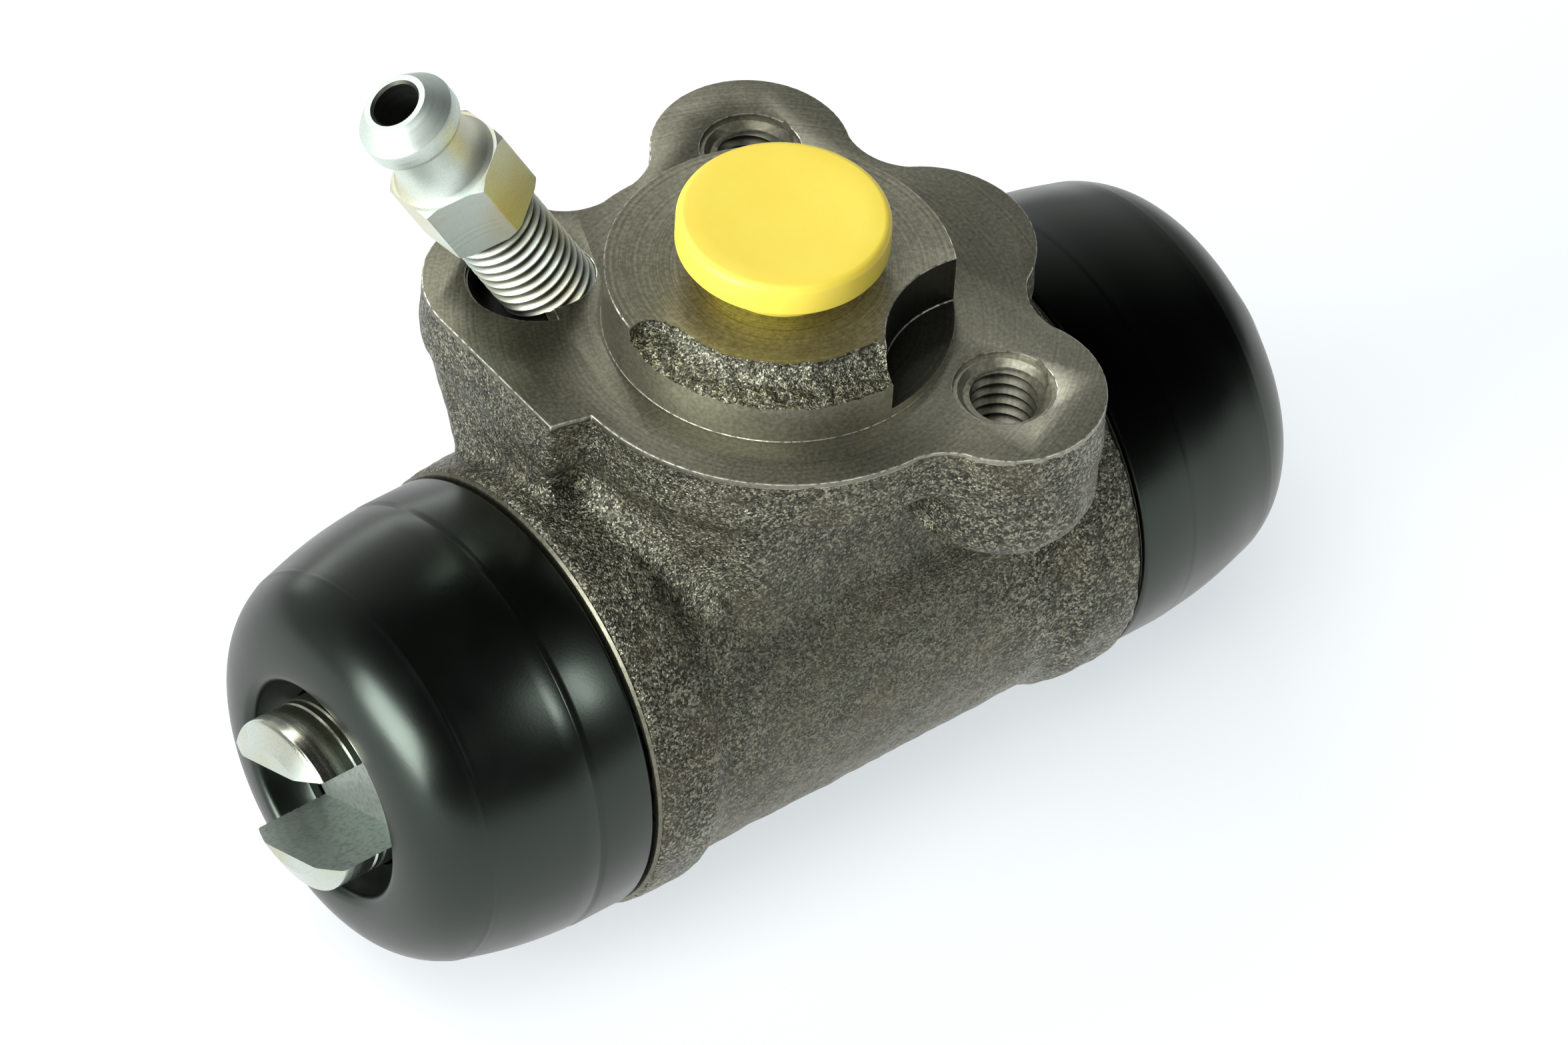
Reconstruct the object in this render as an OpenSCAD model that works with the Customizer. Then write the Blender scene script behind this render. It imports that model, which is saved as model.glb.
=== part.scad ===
// Drum brake wheel cylinder with two opposed pistons.
// The origin is the centre of the pilot boss on the mounting face. The bore runs along X,
// +Z points out of the mounting face and the bleed screw stands at the back left.

/* [Cylinder bore] */
// Diameter of the honed bore
bore_d = 22.22; // [18:0.02:24]
// Distance from the mounting face down to the bore axis
bore_drop = 25.5; // [23:0.5:30]
// Diameter of the cast barrel between the collars
barrel_d = 33; // [31:0.5:34]
// Diameter of the collars that the boots butt against
collar_d = 34.8; // [34.4:0.1:40]
// Distance between the outer faces of the two collars
collar_span = 44.4; // [42:0.2:54]
// Width of each collar along the bore
collar_w = 5; // [3:0.5:6]
// Chamfer on the outer edge of each collar
collar_chamfer = 0.4; // [0.2:0.1:1]
// Length of the boot spigot beyond each collar
spigot_len = 7.3; // [6.5:0.1:10]
// Diameter of the boot spigot
spigot_d = 28; // [26.6:0.1:29]
// Depth of the boot groove in the spigot
groove_depth = 1.2; // [0.8:0.1:1.4]
// Width of the boot groove in the spigot
groove_w = 2.6; // [1.8:0.1:3.2]
// Land between the boot groove and the end of the spigot
groove_land = 2; // [1.5:0.1:2.4]
// Chamfer at the mouth of the bore
bore_chamfer = 0.6; // [0.2:0.1:1]

/* [Mounting flange] */
// Radius of the main disc of the flange
flange_r = 17; // [16:0.1:18.5]
// Thickness of the flange plate
flange_t = 5; // [4:0.1:6.5]
// Distance between the two mounting holes
bolt_spacing = 30; // [29:0.5:34]
// Distance of the mounting holes from the boss centre along the bore
bolt_x = 9; // [7:0.5:11]
// Minor diameter of the M6 tapped mounting holes
bolt_hole_d = 5; // [4:0.1:5.6]
// Depth of the tapped mounting holes
bolt_hole_depth = 8.5; // [7:0.5:9]
// Diameter of the countersink on the mounting holes
bolt_sink_d = 7.5; // [6:0.1:8]
// Radius of the lugs around the mounting holes
lug_r = 7.4; // [6.5:0.1:8]
// Depth of the lugs below the mounting face
lug_depth = 11; // [10:0.5:12]
// Rounding at the lower end of the lugs
lug_round = 2.2; // [1:0.1:3]
// Distance of the end lobe from the boss centre along the bore
lobe_x = 13.6; // [12:0.1:15]
// Radius of the end lobe
lobe_r = 8; // [7:0.1:9]
// Half width of the web under the flange
web_half = 13; // [12:0.5:14]
// Casting fillet where the web runs into the barrel
web_fillet = 6; // [3:0.5:8]
// Casting fillet in the valleys of the flange outline
valley_fillet = 5; // [3:0.5:7]
// Draft that draws the casting in below the flange
cast_draft = 0.4; // [0.2:0.1:0.8]

/* [Pilot boss] */
// Diameter of the pilot boss
boss_d = 25.4; // [24:0.1:26.4]
// Height of the pilot boss above the mounting face
boss_h = 5; // [4:0.1:7]
// Height of the turned band at the foot of the boss
band_h = 3.2; // [2:0.1:3.4]
// Inner radius of the as-cast pocket on the boss
pocket_r = 9.8; // [9.2:0.1:10.5]
// Where the pocket starts, in degrees round the boss
pocket_start = 183; // [175:1:190]
// How far the pocket runs, in degrees
pocket_sweep = 94; // [85:1:100]
// Radius of the bolt-head clearance cut into the boss
notch_r = 8.8; // [8:0.1:9.2]
// Height of the notch floor above the mounting face
notch_floor = 0.8; // [0.4:0.1:1.5]

/* [Inlet port] */
// Minor diameter of the M10 inlet thread
port_d = 9; // [8:0.1:9]
// Depth of the inlet thread below the top of the boss
port_depth = 12; // [9:0.5:13]
// Diameter of the countersink of the inlet
port_sink_d = 9.6; // [9.4:0.1:9.8]
// Diameter of the drilled fluid passages
passage_d = 3; // [2:0.1:3.4]

/* [Bleed screw] */
// Where the bleed screw axis meets the mounting face, along the bore
bleed_x = -11.5; // [-12.5:0.1:-10.8]
// Where the bleed screw axis meets the mounting face, across the bore
bleed_y = 13.2; // [12.6:0.1:14]
// Lean of the bleed screw from square to the face
bleed_lean = 30; // [24:1:34]
// Direction of that lean, in degrees from +X
bleed_heading = 160; // [154:1:166]
// Outside diameter of the M7 thread
bleed_thread_d = 7; // [6:0.1:7.4]
// Depth of the threaded hole along its axis
bleed_hole_depth = 13; // [11:0.5:14]
// Width across flats of the hexagon
bleed_hex = 8; // [7.6:0.1:8.6]
// Height of the underside of the hexagon above the face, along the axis
bleed_stand = 9.2; // [8:0.1:10.5]
// Height of the hexagon
bleed_hex_h = 5.9; // [4:0.1:7]
// Height of the bevel at the upper end of the hexagon
hex_bevel = 1.6; // [0.5:0.1:2]
// How far the hexagon is turned about its axis
hex_turn = -8; // [-30:1:30]
// Diameter of the neck below the nipple
bleed_neck_d = 6.3; // [5:0.1:6.6]
// Length of the neck from the hexagon to the nipple
bleed_neck_len = 4.2; // [3.5:0.1:6]
// Largest diameter of the nipple
bleed_nipple_d = 7.4; // [6.8:0.1:8]
// Length of the nipple
bleed_nipple_len = 3.4; // [3:0.1:6]
// Width of the flat rim at the tip of the nipple
bleed_rim = 0.85; // [0.5:0.05:1]
// Diameter of the hole through the nipple
bleed_hole_d = 3.5; // [2.4:0.1:3.8]
// Length of the solid foot below that hole
bleed_foot = 2; // [1.5:0.1:3]
// Radius of the spot face around the bleed screw
bleed_spot_r = 4.7; // [4.4:0.1:4.9]
// Radius of the cast ear around the bleed screw
ear_r = 7.5; // [7.2:0.1:8.5]
// Where the straight side of the ear ends, across the bore
ear_foot_y = 0.3; // [-0.5:0.1:1.5]
// Radius of the cast boss that carries the bleed thread
bleed_boss_r = 6.3; // [5.8:0.1:7]

/* [Pistons] */
// Length of the piston skirt
skirt_len = 14; // [10:0.5:15]
// Chamfer at both ends of the skirt
skirt_chamfer = 0.5; // [0.2:0.1:0.8]
// How far the skirt lies inside the mouth of the bore
piston_inset = 3; // [2:0.1:4]
// Diameter of the piston nose
nose_d = 13.5; // [12:0.1:14]
// Length of the piston nose beyond the skirt
nose_len = 17; // [16.5:0.1:20]
// Diameter of the flat at the tip of the nose
nose_tip_d = 9.8; // [8.6:0.1:10.5]
// Length of the chamfer at the tip of the nose
nose_chamfer = 1; // [0.6:0.1:2]
// Width of the slot for the brake shoe web
slot_w = 7.2; // [5:0.1:7.4]
// Depth of the slot for the brake shoe web
slot_depth = 7; // [5:0.1:7.5]
// How far the left piston is turned in its bore
turn_left = -24; // [-45:1:45]
// How far the right piston is turned in its bore
turn_right = 0; // [-45:1:45]

/* [Cups and spring] */
// Length of each cup seal
cup_len = 5; // [4:0.1:5.5]
// Thickness of the back of each cup seal
cup_back = 2; // [1.5:0.1:2.5]
// Thickness of the lip of each cup seal
cup_lip = 1.4; // [1:0.1:1.8]
// How much thicker the lip is at its root
cup_root = 1; // [0.6:0.1:1.4]
// Sheet thickness of the cup expanders
expander_t = 0.8; // [0.5:0.1:1]
// Wire diameter of the return spring
spring_wire = 1.2; // [0.8:0.1:1.4]
// Mean diameter of the return spring
spring_d = 11; // [9:0.1:12]
// Number of turns of the return spring, with a closed one at each end
spring_turns = 6; // [4:0.5:7]

/* [Dust boots] */
// Outside diameter of a boot at its rim
boot_d = 34; // [32:0.1:35]
// Length of a boot from rim to nose
boot_len = 17.5; // [16.8:0.1:20]
// How much the radius drops from the rim to the shoulder
boot_taper = 1.2; // [0.4:0.1:1.5]
// Radius of the domed shoulder
boot_dome_r = 6.5; // [6:0.1:7.5]
// Wall thickness of a boot
boot_wall = 2; // [1.4:0.1:2.4]
// Width of the thicker band at the rim
boot_band_w = 4.6; // [4:0.1:6]
// Step between that band and the rest of the wall
boot_band_step = 0.15; // [0.1:0.05:0.4]
// Rounding at the hole in the nose of a boot
boot_lip_round = 0.8; // [0.4:0.1:1]

/* [Port plug] */
// Diameter of the plug head
plug_d = 15.5; // [13:0.1:18]
// Thickness of the plug head
plug_t = 2.7; // [1.6:0.1:3.5]
// Rounding at the edge of the plug head
plug_round = 0.9; // [0.4:0.1:1.1]
// Height of the shoulder that stands on the boss
plug_shoulder_h = 2.6; // [1:0.1:4]
// Diameter of that shoulder
plug_shoulder_d = 10.2; // [10:0.1:12]
// Length of the stem in the port
plug_stem = 8; // [4:0.5:8.5]

/* [Clearances] */
// Radial running clearance of the pistons and cups in the bore
bore_clear = 0.04; // [0.02:0.01:0.08]
// Radial clearance of the bleed thread in its hole
thread_clear = 0.05; // [0.02:0.01:0.08]
// Gap between soft parts and what carries them
soft_gap = 0.3; // [0.2:0.05:0.5]
// Radial clearance of the plug stem in the port
plug_clear = 0.1; // [0.05:0.01:0.2]
// Seating gap of a boot bead in its groove
bead_gap = 0.1; // [0.05:0.01:0.2]

/* [Hidden] */

$fn = 96;
soft_fn = 32;
over = 1;
// How far a fillet bites into what it blends with, so that the two really join
bite = 0.06;
// Pitch of the closed end turns of the spring, in wire diameters
closed_pitch = 1.1;

iron = "#4b4843";
zinc = "#b9bfbd";
rubber = "#1b1c1d";
spring_steel = "#8d9091";
plug_yellow = "#ffe34f";

bore_r = bore_d / 2;
barrel_r = barrel_d / 2;
collar_r = collar_d / 2;
spigot_r = spigot_d / 2;
collar_x = collar_span / 2;
body_x = collar_x + spigot_len;
boss_r = boss_d / 2;
groove_x = body_x - groove_land - groove_w;
bolt_at = [for (side = [-1, 1]) [bolt_x, side * bolt_spacing / 2]];

// The ear around the bleed screw sits a little outboard, where the screw leans to
ear_shift = [-1.1, 0.2];
ear_at = [bleed_x, bleed_y] + ear_shift;
// The foot of the ear slants across and runs into the disc of the flange
foot_slant = 1;
ear_corner = [over - flange_r, ear_foot_y - foot_slant];

bleed_at = [bleed_x, bleed_y, 0];
seat_gap = 0.4;
hex_top_r = bleed_hex / 2 - bite;
hex_corner_r = bleed_hex / 2 / cos(30);
neck_base = bleed_stand + bleed_hex_h;
bleed_tip = neck_base + bleed_neck_len + bleed_nipple_len;
bleed_hole_r = bleed_thread_d / 2 + thread_clear;
bleed_seat = bleed_hole_r - passage_d / 2;

piston_r = bore_r - bore_clear;
skirt_end = body_x - piston_inset;
piston_gap = skirt_end - skirt_len;
cup_seat = piston_gap - cup_back;
nose_r = nose_d / 2;
nose_end = skirt_end + nose_len;

boot_x = collar_x + soft_gap;
boot_end = boot_x + boot_len;
boot_r = boot_d / 2;
dome_x = boot_end - boot_dome_r;
dome_c = boot_r - boot_taper - boot_dome_r;
boot_hole_r = dome_c - boot_lip_round;
lip_r = nose_r + soft_gap;

// Centre of a fillet of radius f that touches two circles from outside
function fillet_at(c1, r1, c2, r2, f, side) =
    let (d = norm(c2 - c1),
         u = (c2 - c1) / d,
         a = ((r1 + f) ^ 2 - (r2 + f) ^ 2 + d ^ 2) / (2 * d),
         h = sqrt((r1 + f) ^ 2 - a ^ 2))
    c1 + a * u + side * h * [-u.y, u.x];

// Points along an arc, from angle a0 to a1
function arc(c, r, a0, a1, n) =
    [for (i = [0 : n]) c + r * [cos(a0 + (a1 - a0) * i / n), sin(a0 + (a1 - a0) * i / n)]];

// Fills the valley between two circles with a concave fillet
module valley(c1, r1, c2, r2, side) {
    c = fillet_at(c1, r1 - bite, c2, r2 - bite, valley_fillet, side);
    difference() {
        polygon([c1, c2, c]);
        translate(c) circle(r = valley_fillet);
    }
}

// Disc, bolt lugs and end lobe of the mounting face, drawn in by the draft of the casting
module lobed_disc(draft = 0) {
    disc = flange_r - draft;
    lug = lug_r - draft;
    lobe = lobe_r - draft;
    circle(r = disc);
    for (at = bolt_at) {
        translate(at) circle(r = lug);
        side = sign(at.y);
        valley([0, 0], disc, at, lug, side);
        valley([lobe_x, 0], lobe, at, lug, -side);
    }
    translate([lobe_x, 0]) circle(r = lobe);
}

// Whole outline of the mounting face, with the ear around the bleed screw
module flange_outline() {
    lobed_disc();
    translate(ear_at) circle(r = ear_r);
    valley([0, 0], flange_r, ear_at, ear_r, -1);
    polygon([ear_at, [ear_at.x - ear_r, ear_at.y], [ear_at.x - ear_r, ear_foot_y], ear_corner, [0, 0]]);
}

// Puts a profile drawn as radius and distance along the bore onto the bore axis
module turned_on_bore(side = 1) {
    translate([0, 0, -bore_drop])
        rotate([0, side * 90, 0])
            rotate_extrude() children();
}

// Puts children on the bleed screw axis, with +Z outwards along it
module on_bleed_axis() {
    translate(bleed_at)
        rotate([0, bleed_lean, bleed_heading]) children();
}

// One end of the barrel with its collar, boot groove and spigot, from the middle outwards
function barrel_end() = let (step = collar_r - barrel_r, neck = collar_x - collar_w) [
    [barrel_r, neck - 2 * step], [collar_r, neck],
    [collar_r, collar_x - collar_chamfer], [collar_r - collar_chamfer, collar_x],
    [spigot_r, collar_x], [spigot_r, groove_x],
    [spigot_r - groove_depth, groove_x], [spigot_r - groove_depth, groove_x + groove_w],
    [spigot_r, groove_x + groove_w], [spigot_r, body_x], [0, body_x]];

// A profile with both its ends, made from one end and its mirror image
function both_ends(end) =
    concat([for (i = [len(end) - 1 : -1 : 0]) [end[i].x, -end[i].y]], end);

// Web between flange and barrel, drawn across the bore and run along it
module web_section() {
    across = web_half + web_fillet;
    c = [across, sqrt((barrel_r - bite + web_fillet) ^ 2 - across ^ 2)];
    for (side = [0, 1]) mirror([side, 0]) {
        square([web_half, bore_drop - over]);
        difference() {
            polygon([[0, 0], c, [web_half - over, c.y], [0, c.y]]);
            translate(c) circle(r = web_fillet + bite / 2);
        }
    }
}

// Web trimmed to the lobes of the flange; the ear has a foot of its own
module web() {
    intersection() {
        translate([0, 0, -bore_drop])
            linear_extrude(height = bore_drop - over) lobed_disc(cast_draft);
        translate([-collar_x, 0, -bore_drop])
            rotate([90, 0, 90]) linear_extrude(height = collar_span) web_section();
    }
}

// Lug with a rounded lower end under one mounting hole
module bolt_lug() {
    r = lug_r - cast_draft / 2;
    translate([0, 0, -lug_depth]) rotate_extrude() {
        square([r - lug_round, lug_depth - over]);
        translate([0, lug_round]) square([r, lug_depth - lug_round - over]);
        translate([r - lug_round, lug_round]) circle(r = lug_round);
    }
}

// Ear that carries the bleed screw, run down into the barrel
module bleed_ear() {
    side_x = ear_at.x - ear_r + cast_draft;
    deep = bore_drop - barrel_r / 2;
    foot = bleed_hole_depth + bleed_boss_r;
    hull() {
        translate([ear_at.x, ear_at.y, -flange_t])
            cylinder(r = ear_r - cast_draft, h = flange_t / 2, $fn = soft_fn);
        translate([side_x, ear_foot_y + cast_draft, -flange_t]) cube([ear_r, ear_at.y, flange_t / 2]);
        translate([side_x, ear_foot_y + cast_draft, -deep]) cube([ear_r, barrel_r / 2, over]);
    }
    on_bleed_axis()
        translate([0, 0, -foot])
            cylinder(r = bleed_boss_r, h = foot - bleed_boss_r * tan(bleed_lean) - over);
}

// As-cast pocket on the rim of the pilot boss, with a round end
module boss_pocket() {
    depth = boss_h - band_h;
    width = boss_r - pocket_r;
    rotate([0, 0, pocket_start]) {
        rotate_extrude(angle = pocket_sweep)
            polygon([[pocket_r, boss_h + over], [pocket_r, boss_h - depth / 4],
                     [pocket_r + depth / 2, band_h + depth / 4],
                     [boss_r + over, band_h], [boss_r + over, boss_h + over]]);
        translate([boss_r - width / 4, 0, band_h + depth / 4])
            cylinder(d = width + depth / 2, h = depth + over);
    }
}

// Profile of a tapped hole: countersink, wall and drill point below the mounting face
module tapped_hole() {
    r = bolt_hole_d / 2;
    sink = bolt_sink_d / 2 - r;
    rotate_extrude()
        polygon([[0, over], [r + sink, over], [r + sink, 0], [r, -sink], [r, -bolt_hole_depth],
                 [0, -bolt_hole_depth - r * tan(30)]]);
}

// Inlet from the top of the boss down to the bore
module inlet_port() {
    r = port_d / 2;
    sink = port_sink_d / 2 - r;
    floor_z = boss_h - port_depth;
    rotate_extrude()
        polygon([[0, boss_h + over], [r + sink, boss_h + over], [r + sink, boss_h], [r, boss_h - sink],
                 [r, floor_z], [passage_d / 2, floor_z - r / 2],
                 [passage_d / 2, -bore_drop], [0, -bore_drop]]);
}

// Spot face, threaded hole, seat and passage of the bleed screw
module bleed_hole() {
    reach = bore_drop / cos(bleed_lean) - passage_d;
    on_bleed_axis()
        rotate_extrude()
            polygon([[0, bleed_tip], [bleed_spot_r, bleed_tip], [bleed_spot_r, 0], [bleed_hole_r, 0],
                     [bleed_hole_r, -bleed_hole_depth], [passage_d / 2, -bleed_hole_depth - bleed_seat],
                     [passage_d / 2, -reach], [0, -reach]]);
}

module cylinder_body() {
    bore_end = [[bore_r, body_x - bore_chamfer], [bore_r + bore_chamfer, body_x],
                [bore_r + bore_chamfer, body_x + over], [0, body_x + over]];
    color(iron) difference() {
        union() {
            turned_on_bore() polygon(both_ends(barrel_end()));
            translate([0, 0, -flange_t]) linear_extrude(height = flange_t) flange_outline();
            web();
            for (at = bolt_at) translate(at) bolt_lug();
            bleed_ear();
            translate([0, 0, -over]) cylinder(r = boss_r, h = over + boss_h);
        }
        turned_on_bore() polygon(both_ends(bore_end));
        for (at = bolt_at) translate(at) tapped_hole();
        inlet_port();
        bleed_hole();
        boss_pocket();
        translate(bolt_at[0])
            translate([0, 0, notch_floor]) cylinder(r = notch_r, h = boss_h);
    }
}

// Hexagon with its upper corners turned off
module bleed_hexagon() {
    straight = bleed_hex_h - hex_bevel;
    turned_r = hex_corner_r + bite;
    intersection() {
        rotate([0, 0, hex_turn]) cylinder(r = hex_corner_r, h = bleed_hex_h, $fn = 6);
        rotate_extrude()
            polygon([[0, 0], [turned_r, 0], [turned_r, straight], [hex_top_r, bleed_hex_h],
                     [0, bleed_hex_h]]);
    }
}

// Neck and barbed nipple above the hexagon, drawn as radius and height
module nipple_profile() {
    neck = bleed_neck_d / 2;
    bulge = bleed_nipple_d / 2;
    barb = bulge - neck;
    tip = bleed_hole_d / 2 + bleed_rim;
    tip_z = bleed_neck_len + bleed_nipple_len;
    polygon(concat(
        [[0, 0], [hex_top_r, 0], [neck, bleed_neck_len / 2]],
        arc([neck, bleed_neck_len + barb], barb, -90, 0, 6),
        [[bulge, bleed_neck_len + bleed_nipple_len / 2], [tip, tip_z], [0, tip_z]]));
}

module bleed_screw() {
    r = bleed_thread_d / 2;
    foot = seat_gap - bleed_hole_depth;
    cross_d = bleed_hole_d / 2;
    color(zinc) on_bleed_axis() difference() {
        union() {
            translate([0, 0, foot]) cylinder(r = r, h = bleed_stand - foot);
            translate([0, 0, foot - bleed_seat]) cylinder(r1 = passage_d / 2, r2 = r, h = bleed_seat);
            translate([0, 0, bleed_stand]) bleed_hexagon();
            translate([0, 0, neck_base]) rotate_extrude() nipple_profile();
        }
        translate([0, 0, foot + bleed_foot]) cylinder(d = bleed_hole_d, h = bleed_tip - foot);
        translate([0, 0, foot + bleed_foot + cross_d])
            rotate([0, 90, 0]) cylinder(d = cross_d, h = 2 * (r + over), center = true);
    }
}

module port_plug() {
    head_z = boss_h + plug_shoulder_h;
    color(plug_yellow) {
        translate([0, 0, head_z]) rotate_extrude() {
            square([plug_d / 2 - plug_round, plug_t]);
            square([plug_d / 2, plug_t - plug_round]);
            translate([plug_d / 2 - plug_round, plug_t - plug_round]) circle(r = plug_round);
        }
        translate([0, 0, boss_h]) cylinder(d = plug_shoulder_d, h = plug_shoulder_h);
        translate([0, 0, boss_h - plug_stem]) cylinder(r = port_d / 2 - plug_clear, h = plug_stem);
    }
}

// Half profile of a dust boot: radius and distance along the bore
module boot_profile() {
    sleeve_r = spigot_r + bead_gap;
    bead_r = sleeve_r - groove_depth;
    bead_start = groove_x + bead_gap;
    bead_end = groove_x + groove_w - bead_gap;
    band_end = boot_x + boot_band_w;
    lip_x = boot_end - boot_lip_round - boot_wall;
    dome = [dome_c, dome_x];
    // The inner wall leaves the dome here and runs back to the lip
    lip_turn = 68;
    polygon(concat(
        [[sleeve_r, boot_x], [boot_r, boot_x], [boot_r, band_end],
         [boot_r - boot_band_step, band_end + boot_band_step]],
        arc(dome, boot_dome_r, 0, 90, 14),
        arc([dome_c, boot_end - boot_lip_round], boot_lip_round, 90, 180, 4),
        [[lip_r, lip_x], [lip_r, lip_x - boot_wall]],
        arc(dome, boot_dome_r - boot_wall, lip_turn, 0, 8),
        [[sleeve_r, body_x + soft_gap], [sleeve_r, bead_end], [bead_r, bead_end],
         [bead_r, bead_start], [sleeve_r, bead_start]]));
}

module boot(side) {
    color(rubber) turned_on_bore(side) boot_profile();
}

module boot_left() { boot(-1); }
module boot_right() { boot(1); }

// Piston with a turned skirt and a slotted nose for the brake shoe web
module piston(side, turn) {
    color(zinc) difference() {
        turned_on_bore(side)
            polygon([[0, piston_gap], [piston_r - skirt_chamfer, piston_gap],
                     [piston_r, piston_gap + skirt_chamfer], [piston_r, skirt_end - skirt_chamfer],
                     [piston_r - skirt_chamfer, skirt_end], [nose_r, skirt_end],
                     [nose_r, nose_end - nose_chamfer], [nose_tip_d / 2, nose_end], [0, nose_end]]);
        translate([0, 0, -bore_drop]) rotate([turn, 0, 0])
            translate([side * (nose_end - slot_depth / 2 + over / 2), 0, 0])
                cube([slot_depth + over, nose_d + over, slot_w], center = true);
    }
}

module piston_left() { piston(-1, turn_left); }
module piston_right() { piston(1, turn_right); }

// Rubber cup that seals against the inner end of a piston, lip towards the middle
module cup_seal(side) {
    front = piston_gap - cup_len;
    lip = piston_r - cup_lip;
    color(rubber) turned_on_bore(side)
        polygon([[0, piston_gap], [piston_r - skirt_chamfer, piston_gap], [piston_r, front],
                 [lip, front], [lip - cup_root, cup_seat], [0, cup_seat]]);
}

module cup_seal_left() { cup_seal(-1); }
module cup_seal_right() { cup_seal(1); }

// Pressed seat between a cup seal and the spring
module cup_expander(side) {
    rim = piston_r - cup_lip - cup_root - soft_gap;
    nub = spring_d / 2 - spring_wire / 2 - soft_gap;
    face = cup_seat - expander_t;
    nub_end = face - 2 * expander_t;
    color(spring_steel) turned_on_bore(side)
        polygon([[0, cup_seat], [rim, cup_seat], [rim, face], [nub, face], [nub, nub_end],
                 [nub - expander_t, nub_end], [nub - expander_t, face], [0, face]]);
}

module cup_expander_left() { cup_expander(-1); }
module cup_expander_right() { cup_expander(1); }

// How far along the spring a point lies after some turns: closed end turns, open ones between
function coil_x(turn, span) =
    let (closed = closed_pitch * spring_wire)
    turn < 1 ? closed * turn :
    turn > spring_turns - 1 ? span - closed * (spring_turns - turn) :
    closed + (span - 2 * closed) * (turn - 1) / (spring_turns - 2);

// Coil spring between the two expanders
module return_spring() {
    sides = 8;
    per_turn = 18;
    steps = per_turn * spring_turns;
    wire = spring_wire / 2;
    span = 2 * (cup_seat - expander_t - wire);
    rings = [for (i = [0 : steps])
        let (turn = i / per_turn, a = 360 * turn, x = coil_x(turn, span) - span / 2)
        [for (k = [0 : sides - 1])
            let (b = 360 * k / sides, r = spring_d / 2 + wire * cos(b))
            [x + wire * sin(b), r * cos(a), r * sin(a)]]];
    points = [for (ring = rings) for (p = ring) p];
    skin = [for (i = [0 : steps - 1]) for (k = [0 : sides - 1])
        let (n = (k + 1) % sides)
        [i * sides + k, i * sides + n, (i + 1) * sides + n, (i + 1) * sides + k]];
    ends = [[for (k = [sides - 1 : -1 : 0]) k], [for (k = [0 : sides - 1]) steps * sides + k]];
    color(spring_steel) translate([0, 0, -bore_drop]) polyhedron(points, concat(skin, ends));
}

cylinder_body();
bleed_screw();
port_plug();
boot_left();
boot_right();
piston_left();
piston_right();
cup_seal_left();
cup_seal_right();
cup_expander_left();
cup_expander_right();
return_spring();
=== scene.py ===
"""Dresses a drum brake wheel cylinder for its portrait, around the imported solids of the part.

Fields and profiles are in millimetres and degrees, and become metres and radians where a mesh is made.
"""
import logging
import math
from collections.abc import Callable, Iterator, Sequence
from contextlib import contextmanager
from dataclasses import dataclass
from enum import Enum

import bpy
from mathutils import Matrix, Vector


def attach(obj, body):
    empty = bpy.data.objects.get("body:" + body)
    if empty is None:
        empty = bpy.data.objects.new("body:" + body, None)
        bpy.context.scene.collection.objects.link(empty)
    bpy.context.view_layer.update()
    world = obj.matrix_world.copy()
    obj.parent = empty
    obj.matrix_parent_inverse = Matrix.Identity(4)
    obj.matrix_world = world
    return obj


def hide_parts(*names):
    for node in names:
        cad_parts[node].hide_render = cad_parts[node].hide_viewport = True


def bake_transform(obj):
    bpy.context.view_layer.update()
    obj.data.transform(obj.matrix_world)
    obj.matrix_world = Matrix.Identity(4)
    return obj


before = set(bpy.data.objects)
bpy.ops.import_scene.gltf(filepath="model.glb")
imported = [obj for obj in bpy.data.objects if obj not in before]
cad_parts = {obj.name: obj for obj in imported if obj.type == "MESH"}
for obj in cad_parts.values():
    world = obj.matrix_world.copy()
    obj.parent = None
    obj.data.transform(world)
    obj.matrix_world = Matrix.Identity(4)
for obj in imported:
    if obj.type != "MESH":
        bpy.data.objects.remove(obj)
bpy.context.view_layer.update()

log = logging.getLogger("wheel_cylinder")

MM = 0.001
WELD = 1e-6  # metres within which two vertices are one
HAIR = 0.01  # millimetres that count as none
WIDE = 60.0  # reach of a tool that is wider than the part

Point = tuple[float, float]
Spot = tuple[float, float, float]
Profile = Sequence[Point]
Piece = bpy.types.Object
Socket = bpy.types.NodeSocket
Rule = Callable[[Vector, Vector], bool]


class Cut(Enum):
    """How a tool shape is combined with the work."""

    REMOVE = "DIFFERENCE"
    JOIN = "UNION"
    KEEP = "INTERSECT"


class Mode(Enum):
    """What is selected in edit mode."""

    POINTS = "VERT"
    EDGES = "EDGE"
    FACES = "FACE"


class Lit(Enum):
    """Whether a lamp lights only the pieces that it names, or all but these."""

    ONLY = "INCLUDE"
    ALL_BUT = "EXCLUDE"


class Side(Enum):
    """Which end of the bore a piece belongs to."""

    LEFT = -1
    RIGHT = 1

    @property
    def word(self) -> str:
        """Name of the side in lower case."""
        return self.name.lower()


# Bench work: selecting, turning, cutting and smoothing meshes


def pick(obj: Piece) -> None:
    """Makes an object the only selected and the active one.

    Args:
        obj: The object.
    """
    bpy.ops.object.select_all(action="DESELECT")
    obj.select_set(True)
    bpy.context.view_layer.objects.active = obj


@contextmanager
def editing(obj: Piece, mode: Mode = Mode.POINTS) -> Iterator[None]:
    """Opens a mesh in edit mode with everything selected, and closes it again.

    Args:
        obj: The mesh object to edit.
        mode: What is selected.

    Returns:
        A context in which the mesh is open.
    """
    pick(obj)
    bpy.ops.object.mode_set(mode="EDIT")
    bpy.ops.mesh.select_mode(type=mode.value)
    bpy.ops.mesh.select_all(action="SELECT")
    yield
    bpy.ops.object.mode_set(mode="OBJECT")


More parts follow.
